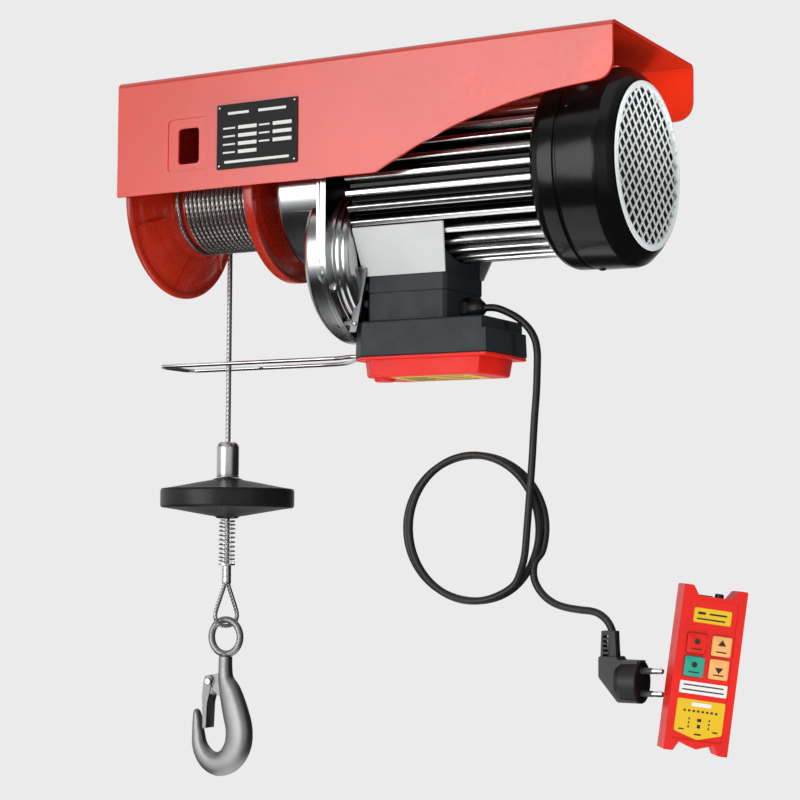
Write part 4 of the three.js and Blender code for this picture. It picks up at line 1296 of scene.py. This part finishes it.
def make_drum_side_case():
    x0, x1 = span("gearcase_drum_half")
    plate = prism_mesh("plate", flange_outline(), x1 - 0.0034, x1, "x")
    case = new_object("drum_side_case", plate)
    end = x1 - 0.001
    barrel = [(x0, 0), (x0, 0.064), (x0 + 0.0015, 0.0700), (x0 + 0.006, 0.072), (end, 0.072), (end, 0)]
    lobe = [(-0.056, 0), (-0.056, 0.0700), (-0.0545, 0.0750), (-0.050, 0.078), (end, 0.078), (end, 0)]
    boss = [(-0.067, 0), (-0.067, 0.0178), (-0.0656, 0.019), (-0.054, 0.019), (-0.054, 0)]
    outer = [
        lathe_mesh("barrel", barrel, SHAFT, "x", 128, 0.0012),
        lathe_mesh("lobe", lobe, LOBE, "x", 128, 0.0012),
        lathe_mesh("boss", boss, LAYSHAFT, "x", 64, 0.0006),
    ]
    carved(case, *outer, operation="UNION")
    inner = [
        bore_mesh(-0.075, 0, 0.068, SHAFT, 128),
        bore_mesh(-0.0535, 0, 0.0745, LOBE, 128),
        bore_mesh(-0.0872, -0.07, 0.0262, SHAFT, 64),
        bore_mesh(-0.1, -0.08, 0.0135, SHAFT, 48),
        bore_mesh(-0.0652, -0.05, 0.0162, LAYSHAFT, 64),
    ]
    carved(case, *inner)
    bevelled(case, 0.0005, 2, 35)
    turned_shading(case, [(0, SHAFT_Z), (0, LOBE_Z)])
    dress(case, "case_chrome", "hoist_body", "case_chrome", "gearcase_drum_half")


def make_motor_side_case():
    x0, x1 = span("gearcase_motor_half")
    plate = prism_mesh("plate", flange_outline(), x0, x0 + 0.0028, "x")
    case = new_object("motor_side_case", plate)
    lobe = [
        (x0 + 0.001, 0), (x0 + 0.001, 0.0715), (x0 + 0.0052, 0.0710), (x0 + 0.0058, 0.0680),
        (x0 + 0.0092, 0.0675), (x0 + 0.0098, 0.0645), (x1 - 0.0045, 0.0640), (x1 - 0.0016, 0.0610),
        (x1 - 0.0002, 0.0550), (x1 - 0.0002, 0.0485), (x1 - 0.0014, 0.0462), (x1 - 0.0014, 0.0235),
        (x1, 0.0200), (x1, 0),
    ]
    boss = [(x0 + 0.001, 0), (x0 + 0.001, 0.032), (x1 - 0.001, 0.032), (x1, 0.031), (x1, 0)]
    rib_outline = rounded_outline((0.019, -0.0011), (0.049, 0.0011), 0.0005, 2)
    upright = Matrix(((0, 0, 1, 0), (0, 1, 0, 0), (-1, 0, 0, 0), (0, 0, 0, 1)))
    ribs = []
    for k in range(10):
        rib = prism_mesh("rib", rib_outline, x1 - 0.003, x1 - 0.0003)
        rib.transform(Matrix.Translation(LAYSHAFT) @ Matrix.Rotation(TAU * k / 10, 4, "X") @ upright)
        ribs.append(rib)
    outer = [
        lathe_mesh("lobe", lobe, LAYSHAFT, "x", 128, 0.0008),
        lathe_mesh("boss", boss, SHAFT, "x", 96, 0.0006),
    ]
    carved(case, *outer, *ribs, operation="UNION")
    inner = [
        bore_mesh(-0.04, x1 - 0.0028, 0.0572, LAYSHAFT, 128),
        bore_mesh(-0.04, 0, 0.0128, SHAFT, 48),
    ]
    carved(case, *inner)
    bevelled(case, 0.0004, 2, 35)
    turned_shading(case, [LAYSHAFT[1:], (0, LOBE_Z), (0, SHAFT_Z)])
    dress(case, "case_chrome", "hoist_body", "case_chrome", "gearcase_motor_half")
    flange_bolts(x0 + 0.0028)

    strap_outline = [(-0.0140, -0.1740), (-0.0066, -0.1740), (-0.0195, -0.2400), (-0.0268, -0.2400)]
    strap = prism_mesh("side_strap", strap_outline, -0.0418, -0.0396, "y", 0.001)
    add("side_strap", strap, "strap_steel", "hoist_body", "aluminium", bevel=(0.0003, 2))
    foot_outline = rounded_outline((-0.0150, -0.1985), (-0.0115, -0.1925), 0.001)
    foot = prism_mesh("strap_foot", foot_outline, -0.0398, -0.0362, "y")
    add("strap_foot", foot, "strap_steel", "hoist_body", "aluminium")
    screws = []
    for share in (0.12, 0.88):
        at = Vector((-0.0103, -0.0418, -0.1740)).lerp(Vector((-0.0231, -0.0418, -0.2400)), share)
        screws.append(pan_screw("screw", at, (0, -1, 0), 0.0026, 0.0014))
    add("strap_screws", merged("strap_screws", screws), "steel", "hoist_body", "steel")


# ---------------------------------------------------------------- motor
def make_motor():
    x0, x1 = span("motor_housing")
    tip, root, count = 0.072, 0.0622, 32
    flank = [(root, 0.0040), (tip - 0.0008, 0.0026), (tip, 0.0018)]
    fin = flank + [(radius, -half) for radius, half in reversed(flank)]
    outline = []
    for k in range(count):
        a = TAU * k / count
        for radius, half in fin:
            lean = -half / radius
            outline.append((radius * math.cos(a + lean), SHAFT_Z + radius * math.sin(a + lean)))
    bore = circle_points((0, SHAFT_Z), 0.0562, 96)
    body = prism_mesh("body", outline, x0, x1, "x", 0.0007, [bore], 2)
    wall_profile = [
        (x0, 0.0130), (x0, 0.0600), (-0.0045, 0.0600), (-0.0045, 0.0178), (-0.0140, 0.0178),
        (-0.0140, 0.0130),
    ]
    wall = lathe_mesh("wall", wall_profile, SHAFT, "x", 64, 0.0003)
    casing = merged("motor_casing", [body, wall])
    edge = (0.0005, 2, 35)
    add("motor_casing", casing, "fin_metal_painted_shade", "hoist_body", "aluminium", "motor_housing", bevel=edge)

    section = [(0.0362, -0.1900), (0.0380, -0.1900)]
    section += [(0.0590, -0.1500), (0.0586, -0.1488), (0.0560, -0.1488)]
    plates = []
    for side in (-1, 1):
        near = [(x0, side * y, z) for y, z in section]
        far = [(0.068 + 0.2 * (z + 0.19), side * y, z) for y, z in section]
        plates.append(mesh_of("plate", near + far, capped_faces(2, len(section)), smooth=False))
    pads = merged("motor_pads", plates)
    # painted reflection: the aluminium pads wear light grey paint that stands in for their bright reflection
    add("motor_pads", pads, "pad_painted_reflection", "hoist_body", "aluminium", bevel=(0.0004, 2))

    s0, s1 = span("motor_end_shield")
    shield_profile = [
        (s0, 0.0110), (s0, 0.0745), (s0 + 0.0018, 0.0790), (s0 + 0.0060, 0.0832),
        (s0 + 0.0110, 0.0850), (s1 - 0.0030, 0.0850), (s1 - 0.0026, 0.0836), (s1, 0.0834),
        (s1, 0.0800), (s1 - 0.0100, 0.0790), (s1 - 0.0205, 0.0700), (s1 - 0.0215, 0.0260),
        (s1 - 0.0150, 0.0250), (s1 - 0.0150, 0.0178), (s0 + 0.0012, 0.0178), (s0 + 0.0012, 0.0110),
    ]
    shield = lathe_mesh("end_shield", shield_profile, SHAFT, "x", 144, 0.001)
    add("end_shield", shield, "black_gloss", "hoist_body", "black_gloss", "motor_end_shield")

    c0, c1 = span("fan_cowl")
    cowl_profile = [
        (c0, 0.0830), (c0, 0.0855), (c0 + 0.0006, 0.0860), (c1 - 0.0165, 0.0860),
        (c1 - 0.0120, 0.0850), (c1 - 0.0050, 0.0790), (c1 - 0.0010, 0.0740), (c1, 0.0722),
        (c1, 0.0706), (c1 - 0.0032, 0.0703), (c1 - 0.0032, 0.0735), (c1 - 0.0140, 0.0830),
    ]
    cowl = lathe_mesh("cowl", cowl_profile, SHAFT, "x", 144, 0.0012)
    add("cowl", cowl, "black_gloss", "hoist_body", "black_gloss", "fan_cowl")
    screws = []
    for angle_deg in (30, 150, 270):
        a = math.radians(angle_deg)
        out = Vector((0, math.cos(a), math.sin(a)))
        at = Vector((c0 + 0.006, 0, SHAFT_Z)) + out * 0.0858
        screws.append(pan_screw("screw", at, out, 0.0030, 0.0016))
    add("cowl_screws", merged("cowl_screws", screws), "black_gloss", "hoist_body", "black_gloss")
    make_grille()


def make_grille():
    g0, g1 = span("fan_grille")
    rim = [
        (g0, 0.0665), (g0, 0.0700), (g1 - 0.0007, 0.0702), (g1 - 0.0007, 0.0726), (g1, 0.0724),
        (g1 + 0.0012, 0.0690), (g1 + 0.0010, 0.0675), (g1 - 0.0010, 0.0665),
    ]
    parts = [lathe_mesh("rim", rim, SHAFT, "x", 128, 0.0003)]
    reach, half, spacing, lean = 0.0675, 0.00060, 0.0098, math.radians(42.5)
    front = g1 + 0.0010
    for layer, angle in enumerate((lean, -lean)):
        rows = int(reach / spacing)
        c, s = math.cos(angle), math.sin(angle)
        for k in range(-rows, rows + 1):
            offset = (k + 0.25) * spacing
            if abs(offset) > reach - 0.002:
                continue
            long = math.sqrt(reach ** 2 - offset ** 2)
            below, above = offset - half, offset + half
            corners = [(-long, below), (long, below), (long, above), (-long, above)]
            turned = [(y * c - z * s, SHAFT_Z + y * s + z * c) for y, z in corners]
            start = front - 0.0012 - 0.00008 * layer
            parts.append(prism_mesh("bar", turned, start, front - 0.00008 * layer, "x"))
    grille = merged("grille_mesh", parts)
    add("grille_mesh", grille, "grille_white", "hoist_body", "grille_white", "fan_grille")
    # painted shadow: a near-black disc just behind the grille stands in for the shade inside the cowl
    shadow_disc_profile = [(g0 - 0.0024, 0), (g0 - 0.0024, 0.0700), (g0 - 0.0016, 0.0700), (g0 - 0.0016, 0)]
    disc = lathe_mesh("grille_shadow_disc", shadow_disc_profile, SHAFT, "x", 96, 0)
    add("grille_shadow_disc", disc, "painted_shadow_black", "hoist_body", "fan_black")


# ---------------------------------------------------------------- control box
def loft_mesh(name, rings):
    """A closed shape through level outlines of equal length, each an (outline, z) pair."""
    vertices = [(x, y, z) for outline, z in rings for x, y in outline]
    return mesh_of(name, vertices, capped_faces(len(rings), len(rings[0][0])), smooth=False)


def box_plan(inset=0.0):
    """The control box from below: two cut corners at the drum end, a long taper to the nose at the other."""
    left, side = -0.028 + inset, 0.041 - inset
    shoulder, right = 0.110 - 1.3 * inset, 0.112 - 1.05 * inset
    cut, nose = 0.013 - inset / 2, 0.014 - inset / 3
    near = [(left, cut - side), (left + cut, -side), (shoulder, -side), (right, -nose)]
    return near + [(x, -y) for x, y in reversed(near)]


def neck_outline(inset=0.0):
    lo, hi = low("control_box_neck"), high("control_box_neck")
    return chamfer_outline((lo.x + inset, lo.y + inset), (hi.x - inset, hi.y - inset), 0.003)


def make_control_box():
    bottom, top = span("control_box_neck", "z")
    seam = top - 0.0145
    waist = neck_outline(0.0012)
    saddle = prism_mesh("saddle", waist, top - 0.001, -0.166)
    parts = [
        prism_mesh("upper", neck_outline(), seam, top),
        cut(saddle, bore_mesh(-0.1, 0.2, 0.0724, SHAFT, 96)),
        prism_mesh("seam", waist, seam - 0.0012, seam + 0.001),
        prism_mesh("lower", neck_outline(0.0003), bottom, seam - 0.0008),
    ]
    neck = merged("box_neck", parts)
    add("box_neck", neck, "box_grey", "hoist_body", "box_grey", "control_box_neck", bevel=(0.0006, 2))

    bottom, top = span("control_box_body", "z")
    rings = [
        (box_plan(0.0003), bottom), (box_plan(), bottom + 0.0015),
        (box_plan(0.0008), top - 0.0012), (box_plan(0.0022), top),
    ]
    body = new_object("box_body", loft_mesh("box_body", rings))
    step = [(0.1055, -0.06), (0.13, -0.06), (0.13, 0.06), (0.1055, 0.06)]
    carved(body, prism_mesh("step", step, top - 0.0105, top + 0.01))
    carved(body, prism_mesh("room", box_plan(0.0035), bottom - 0.01, top - 0.0135))
    bevelled(body, 0.0007, 2, 30)
    dress(body, "box_grey", "hoist_body", "box_grey", "control_box_body")

    bottom, top = span("control_box_lid", "z")
    rim = [(box_plan(0.0012), top - 0.0028), (box_plan(0.0004), top - 0.0022), (box_plan(0.0004), top)]
    tray = [(box_plan(0.0108), bottom), (box_plan(0.0096), bottom + 0.0012), (box_plan(0.0080), top - 0.0020)]
    lid = merged("box_lid", [loft_mesh("rim", rim), loft_mesh("tray", tray)])
    add("box_lid", lid, "plastic_red", "hoist_body", "plastic_red", "control_box_lid", bevel=(0.0007, 2, 30))

    label_outline = rounded_outline((0.004, -0.024), (0.084, 0.024), 0.003)
    label = prism_mesh("lid_label", label_outline, bottom - 0.0002, bottom + 0.0004)
    add("lid_label", label, "label_yellow", "hoist_body", "plastic_red")
    bars = []
    for row in range(5):
        y = 0.0165 - 0.0075 * row
        end = 0.034 + 0.040 * (row % 2 == 0)
        bar = rounded_outline((0.010, y - 0.0012), (end, y + 0.0012), 0.0005, 2)
        bars.append(prism_mesh("bar", bar, bottom - 0.0004, bottom))
    add("lid_label_bars", merged("lid_label_bars", bars), "label_ink", "hoist_body", "plastic_red")
    knob_profile = [(bottom - 0.0030, 0), (bottom - 0.0030, 0.0080), (bottom - 0.0022, 0.0094)]
    knob_profile += [(bottom + 0.0006, 0.0098), (bottom + 0.0006, 0)]
    knob = lathe_mesh("lid_plug", knob_profile, (-0.0065, -0.012, 0), "z", 48, 0.0006)
    add("lid_plug", knob, "plastic_red", "hoist_body", "plastic_red")

    face = low("control_box_neck").x
    places = [(face, y, z) for z in (-0.212, -0.198) for y in (-0.027, 0.027)]
    screws = [pan_screw("screw", place, (-1, 0, 0), 0.0028, 0.0014) for place in places]
    add("box_screws", merged("box_screws", screws), "steel", "hoist_body", "steel")
    lug = [(-0.0145, 0), (-0.0145, 0.0034), (-0.0110, 0.0036), (-0.0110, 0)]
    lugs = [lathe_mesh("lug", lug, (0, -0.0335, z), "x", 24, 0.0004) for z in (-0.199, -0.214)]
    add("neck_lugs", merged("neck_lugs", lugs), "box_grey", "hoist_body", "box_grey")


# ---------------------------------------------------------------- wireless handset
HANDSET = {"turn_deg": 35, "lean_deg": 8, "half": 0.027, "tall": 0.068, "deep": 0.011}


def handset_place():
    lo, hi = low("handset_front_shell"), high("handset_back_shell")
    centre = Vector((0.290, (lo.y + hi.y) / 2, -0.5305))
    turn = Matrix.Rotation(math.radians(HANDSET["turn_deg"]), 4, "Z")
    lean = Matrix.Rotation(math.radians(HANDSET["lean_deg"]), 4, "Y")
    return Matrix.Translation(centre) @ turn @ lean


def handset_silhouette():
    """The shells' outline as (x, z): two horns at the top and a notched foot."""
    w, h = HANDSET["half"], HANDSET["tall"]
    return [
        (-w, h), (-w + 0.008, h), (-w + 0.0135, h - 0.008), (w - 0.0135, h - 0.008),
        (w - 0.008, h), (w, h), (w, -h), (w - 0.008, -h), (w - 0.0125, -h + 0.008),
        (0, -h + 0.003), (0.0125 - w, -h + 0.008), (0.008 - w, -h), (-w, -h),
    ]


def make_handset():
    place = handset_place()
    w, h, deep = HANDSET["half"], HANDSET["tall"], HANDSET["deep"]
    button_at = {}
    for name in ("button_stop", "button_start", "button_up", "button_down"):
        local = place.inverted() @ middle(name)
        button_at[name] = (round(local.x, 4), round(local.z, 4))

    def fixed(name, mesh, look, slot, *replaced, bevel=None, body="handset"):
        add(name, moved(mesh, place), look, body, slot, *replaced, bevel=bevel)

    panel = rounded_outline((0.0063 - w, 0.0098 - h), (w - 0.0063, h - 0.0105), 0.002)
    cavity = rounded_outline((3 * MM - w, 0.014 - h), (w - 3 * MM, h - 0.013), 0.003)
    cuts = [prism_mesh("panel", panel, -0.02, -deep + 0.0009, "y")]
    cuts.append(prism_mesh("cavity", cavity, -deep + 0.0028, 0.01, "y"))
    for x, z in button_at.values():
        well = rounded_outline((x - 0.0085, z - 0.0085), (x + 0.0085, z + 0.0085), 0.0022)
        cuts.append(prism_mesh("well", well, -0.02, -0.004, "y"))
    front = cut(prism_mesh("front", handset_silhouette(), -deep, -0.00015, "y", 0.0012), *cuts)
    edge = (0.0012, 3, 40)
    fixed("handset_front", front, "plastic_red", "plastic_red", "handset_front_shell", bevel=edge)

    back = prism_mesh("back", handset_silhouette(), 0.00015, deep, "y", 0.0012)
    hollow = prism_mesh("cavity", cavity, -0.01, deep - 0.0025, "y")
    door_outline = rounded_outline((-0.017, -0.045), (0.017, 0.004), 0.003)
    core_outline = rounded_outline((-0.0164, -0.0444), (0.0164, 0.0034), 0.0026)
    door = prism_mesh("door", door_outline, deep - 0.0006, deep + 0.01, "y")
    groove = cut(door, prism_mesh("core", core_outline, deep - 0.002, deep + 0.02, "y"))
    back = cut(back, hollow, groove)
    fixed("handset_back", back, "plastic_red", "plastic_red", "handset_back_shell", bevel=edge)
    places = [(x, deep - 0.0002, z) for x in (-0.0205, 0.0205) for z in (-0.052, 0.052)]
    screws = [pan_screw("screw", at, (0, 1, 0), 0.0028, 0.0010) for at in places]
    fixed("handset_screws", merged("handset_screws", screws), "steel", "steel")

    stub_profile = [(h - 0.012, 0), (h - 0.012, 0.0040)]
    stub_profile += [(h - 0.0055, 0.0038), (h - 0.0045, 0.0030), (h - 0.0045, 0)]
    stub = lathe_mesh("stub", stub_profile, (0.006, 0.0, 0), "z", 32, 0.0005)
    bar_outline = rounded_outline((-0.012, h - 0.012), (0.0, h - 0.0072), 0.0012)
    bar = prism_mesh("bar", bar_outline, -0.004, 0.004, "y")
    fixed("handset_aerial_stub", merged("handset_aerial_stub", [stub, bar]), "rubber_black", "rubber_black")

    base = -deep + 0.0009

    def label(name, outline, look):
        fixed(name, prism_mesh(name, outline, base - 0.0002, base + 0.0004, "y"), look, "plastic_red")

    label("label_top", rounded_outline((-0.0158, 0.0380), (0.0158, 0.0500), 0.0015), "label_yellow")
    label("label_middle", rounded_outline((-0.0200, -0.0205), (0.0200, -0.0105), 0.0008), "label_white")
    shield = [(-0.0202, -0.0250), (0.0202, -0.0250), (0.0202, -0.0515), (0, -0.0572), (-0.0202, -0.0515)]
    label("label_lower", filleted(shield, 0.0015), "label_yellow")

    def marks(name, boxes, look):
        shapes = [
            prism_mesh("mark", rounded_outline((x0, z0), (x1, z1), 0.0003, 2), base - 0.0003, base, "y")
            for x0, z0, x1, z1 in boxes
        ]
        fixed(name, merged(name, shapes), look, "plastic_red")

    dark = [(-0.0125, 0.0448, -0.0060, 0.0468), (-0.0030, 0.0450, 0.0120, 0.0464)]
    dark += [(-0.0130, 0.0405, 0.0110, 0.0417)]
    dark += [(-0.0170, -0.0140, 0.0170, -0.0129), (-0.0175, -0.0180, 0.0175, -0.0169)]
    dark += [(-0.0142 + 0.0038 * k, -0.0350, -0.0122 + 0.0038 * k, -0.0333) for k in range(8)]
    dark += [(-0.0018, -0.0425, 0.0018, -0.0400), (-0.0013, -0.0478, 0.0013, -0.0448)]
    for x in (-0.0085, 0.0085):
        dark += [(x - 0.0006, -0.0415 - 0.0033 * k, x + 0.0006, -0.0397 - 0.0033 * k) for k in range(3)]
    dark += [(-0.0165, -0.0502, -0.0120, -0.0491), (0.0120, -0.0502, 0.0165, -0.0491)]
    dark += [(-0.0030, -0.0535, 0.0030, -0.0522)]
    marks("label_marks", dark, "label_ink")
    marks("label_window", [(-0.0080, -0.0303, 0.0085, -0.0272)], "label_white")

    looks = ("plastic_red", "button_teal", "button_amber", "button_amber")
    arrow = ((-0.0035, -0.0005), (0.0035, -0.0005), (0, 0.0045))
    face = -deep - 0.0012
    steps = ((-0.0060, 0.0082), (-deep - 0.0006, 0.0082), (face, 0.0076))
    for (name, (x, z)), look in zip(button_at.items(), looks):
        vertices = []
        for y, r in steps:
            outline = rounded_outline((x - r, z - r), (x + r, z + r), 0.002)
            vertices += [(px, y, pz) for px, pz in outline]
        cap = mesh_of(name + "_cap", vertices, capped_faces(len(steps), len(outline)))
        fixed(name + "_cap", cap, look, look, name, body=name)
        if look == "button_amber":
            flip = 1 if name == "button_up" else -1
            sign = [(x + a, z + 0.001 + flip * b) for a, b in arrow]
        else:
            sign = circle_points((x, z + 0.0015), 0.0024, 24)
        line = rounded_outline((x - 0.0045, z - 0.0052), (x + 0.0045, z - 0.0042), 0.0003, 2)
        shapes = [prism_mesh("mark", shape, face - 0.00015, face + 0.0002, "y") for shape in (sign, line)]
        fixed(name + "_mark", merged(name + "_mark", shapes), "label_ink", look, body=name)


# ---------------------------------------------------------------- CAD nodes that keep their own shape
def dress_cad_nodes():
    wanted = {part["node"]: part["material_slot"] for part in frame["record"]["subparts"]}
    for name, obj in frame["nodes"].items():
        obj.data.materials.clear()
        obj.data.materials.append(LOOKS[wanted[name]])


# ---------------------------------------------------------------- studio
FLOOR_Z = -1.25
FLOOR_RADIUS = 3.0


def make_floor():
    rim = [(x, y, FLOOR_Z) for x, y in circle_points((0, 0), FLOOR_RADIUS, 96)]
    mesh = mesh_of("floor", rim, [tuple(range(len(rim)))], smooth=False)
    floor = new_object("floor", mesh)
    surface = Surface("floor_surface")
    shade = surface.ramp(surface.noise(1.5, 2), [(0.3, 0.90), (0.7, 0.93)])
    surface.finish(colour=shade, roughness=0.75)
    floor.data.materials.append(surface.material)
    floor.visible_glossy = False


def make_world():
    """A plain light backdrop; mirrored surfaces see studio bands and one tall soft panel instead of it."""
    world = bpy.data.worlds.new("studio")
    bpy.context.scene.world = world
    world.use_nodes = True
    sky = Tree(world.node_tree)
    sky.tree.nodes.clear()
    view = sky.add("ShaderNodeTexCoord").outputs["Generated"]
    height = sky.share(sky.fed("ShaderNodeSeparateXYZ", "Z", Vector=view), -1, 1)

    def graded(source, stops, strength=1.0):
        """A background whose grey level follows the source along the stops."""
        node = sky.add("ShaderNodeBackground", Strength=strength)
        sky.link(sky.ramp(source, stops, "EASE"), node.inputs["Color"])
        return node.outputs["Background"]

    def facing(x, y, z):
        """How closely the view direction points along (x, y, z)."""
        node = sky.add("ShaderNodeVectorMath", operation="DOT_PRODUCT")
        node.inputs[1].default_value = Vector((x, y, z)).normalized()
        sky.link(view, node.inputs[0])
        return node.outputs["Value"]

    def mixed(factor, a, b):
        node = sky.add("ShaderNodeMixShader")
        sky.link(factor, node.inputs["Fac"])
        sky.link(a, node.inputs[1])
        sky.link(b, node.inputs[2])
        return node.outputs["Shader"]

    levels = [(0.0, 0.02), (0.27, 0.02), (0.37, 0.38), (0.50, 0.75), (0.62, 0.75)]
    levels += [(0.69, 0.2), (0.79, 0.2), (0.86, 0.8), (1.0, 0.8)]
    black = sky.add("ShaderNodeBackground", Color=grey(0.02)).outputs["Background"]
    soft = sky.add("ShaderNodeBackground", Strength=0.44).outputs["Background"]
    plain = sky.add("ShaderNodeBackground", Color=linear(235, 235, 235)).outputs["Background"]
    dark_side = mixed(sky.share(facing(0.75, 0.66, 0.0), 0.35, 0.75), graded(height, levels), black)
    panel = graded(facing(-0.26, -0.96, 0.05), [(0.915, 0.0), (0.950, 1.0)], 3.0)
    mirrored = sky.add("ShaderNodeAddShader")
    sky.link(dark_side, mirrored.inputs[0])
    sky.link(panel, mirrored.inputs[1])
    rays = sky.add("ShaderNodeLightPath").outputs
    shown = mixed(rays["Is Glossy Ray"], soft, mirrored.outputs["Shader"])
    shown = mixed(rays["Is Camera Ray"], shown, plain)
    sky.link(shown, sky.add("ShaderNodeOutputWorld").inputs["Surface"])


def placed_light(name, kind, at, target, power, mirrored=False):
    """A lamp at a place, aimed at a target; only a mirrored one shows in glossy surfaces."""
    lamp = bpy.data.lights.new(name, kind)
    lamp.energy = power
    obj = bpy.data.objects.new(name, lamp)
    obj.location = at
    obj.rotation_mode = "QUATERNION"
    obj.rotation_quaternion = (Vector(target) - Vector(at)).to_track_quat("-Z", "Y")
    obj.visible_glossy = mirrored
    bpy.context.collection.objects.link(obj)
    return lamp


def area_light(name, at, target, size, power, mirrored=False):
    lamp = placed_light(name, "AREA", at, target, power, mirrored)
    lamp.shape = "RECTANGLE"
    lamp.size, lamp.size_y = size


def make_lights():
    centre = (0, 0, -0.25)
    area_light("key", (-0.9, -1.6, 0.9), centre, (1.4, 1.0), 8)
    area_light("side", (-1.6, -0.9, -0.1), centre, (0.5, 1.6), 5)
    area_light("right", (1.6, -0.7, 0.2), centre, (0.5, 1.5), 13)
    area_light("below", (0.2, -0.5, -1.15), (0.1, 0, 0), (1.4, 0.8), 8)
    area_light("card", (-0.22, -0.1, -0.95), (-0.22, -0.1, 0), (0.46, 1.2), 2.1, mirrored=True)
    inner = placed_light("inner", "SPOT", (0.90, -1.57, -0.43), (0.219, 0.09, -0.022), 260)
    inner.spot_size = math.radians(2.5)
    inner.spot_blend = 0.4
    inner.shadow_soft_size = 0.05


def main():
    scene = bpy.context.scene
    scene.view_settings.view_transform = "Standard"
    make_camera()
    make_materials()
    dress_cad_nodes()
    make_cord()
    make_frame()
    make_drum()
    make_hanging_rope()
    make_rope_end()
    make_hook()
    make_latch()
    make_drum_side_case()
    make_motor_side_case()
    make_motor()
    make_control_box()
    make_lever()
    make_handset()
    make_floor()
    make_world()
    make_lights()


main()
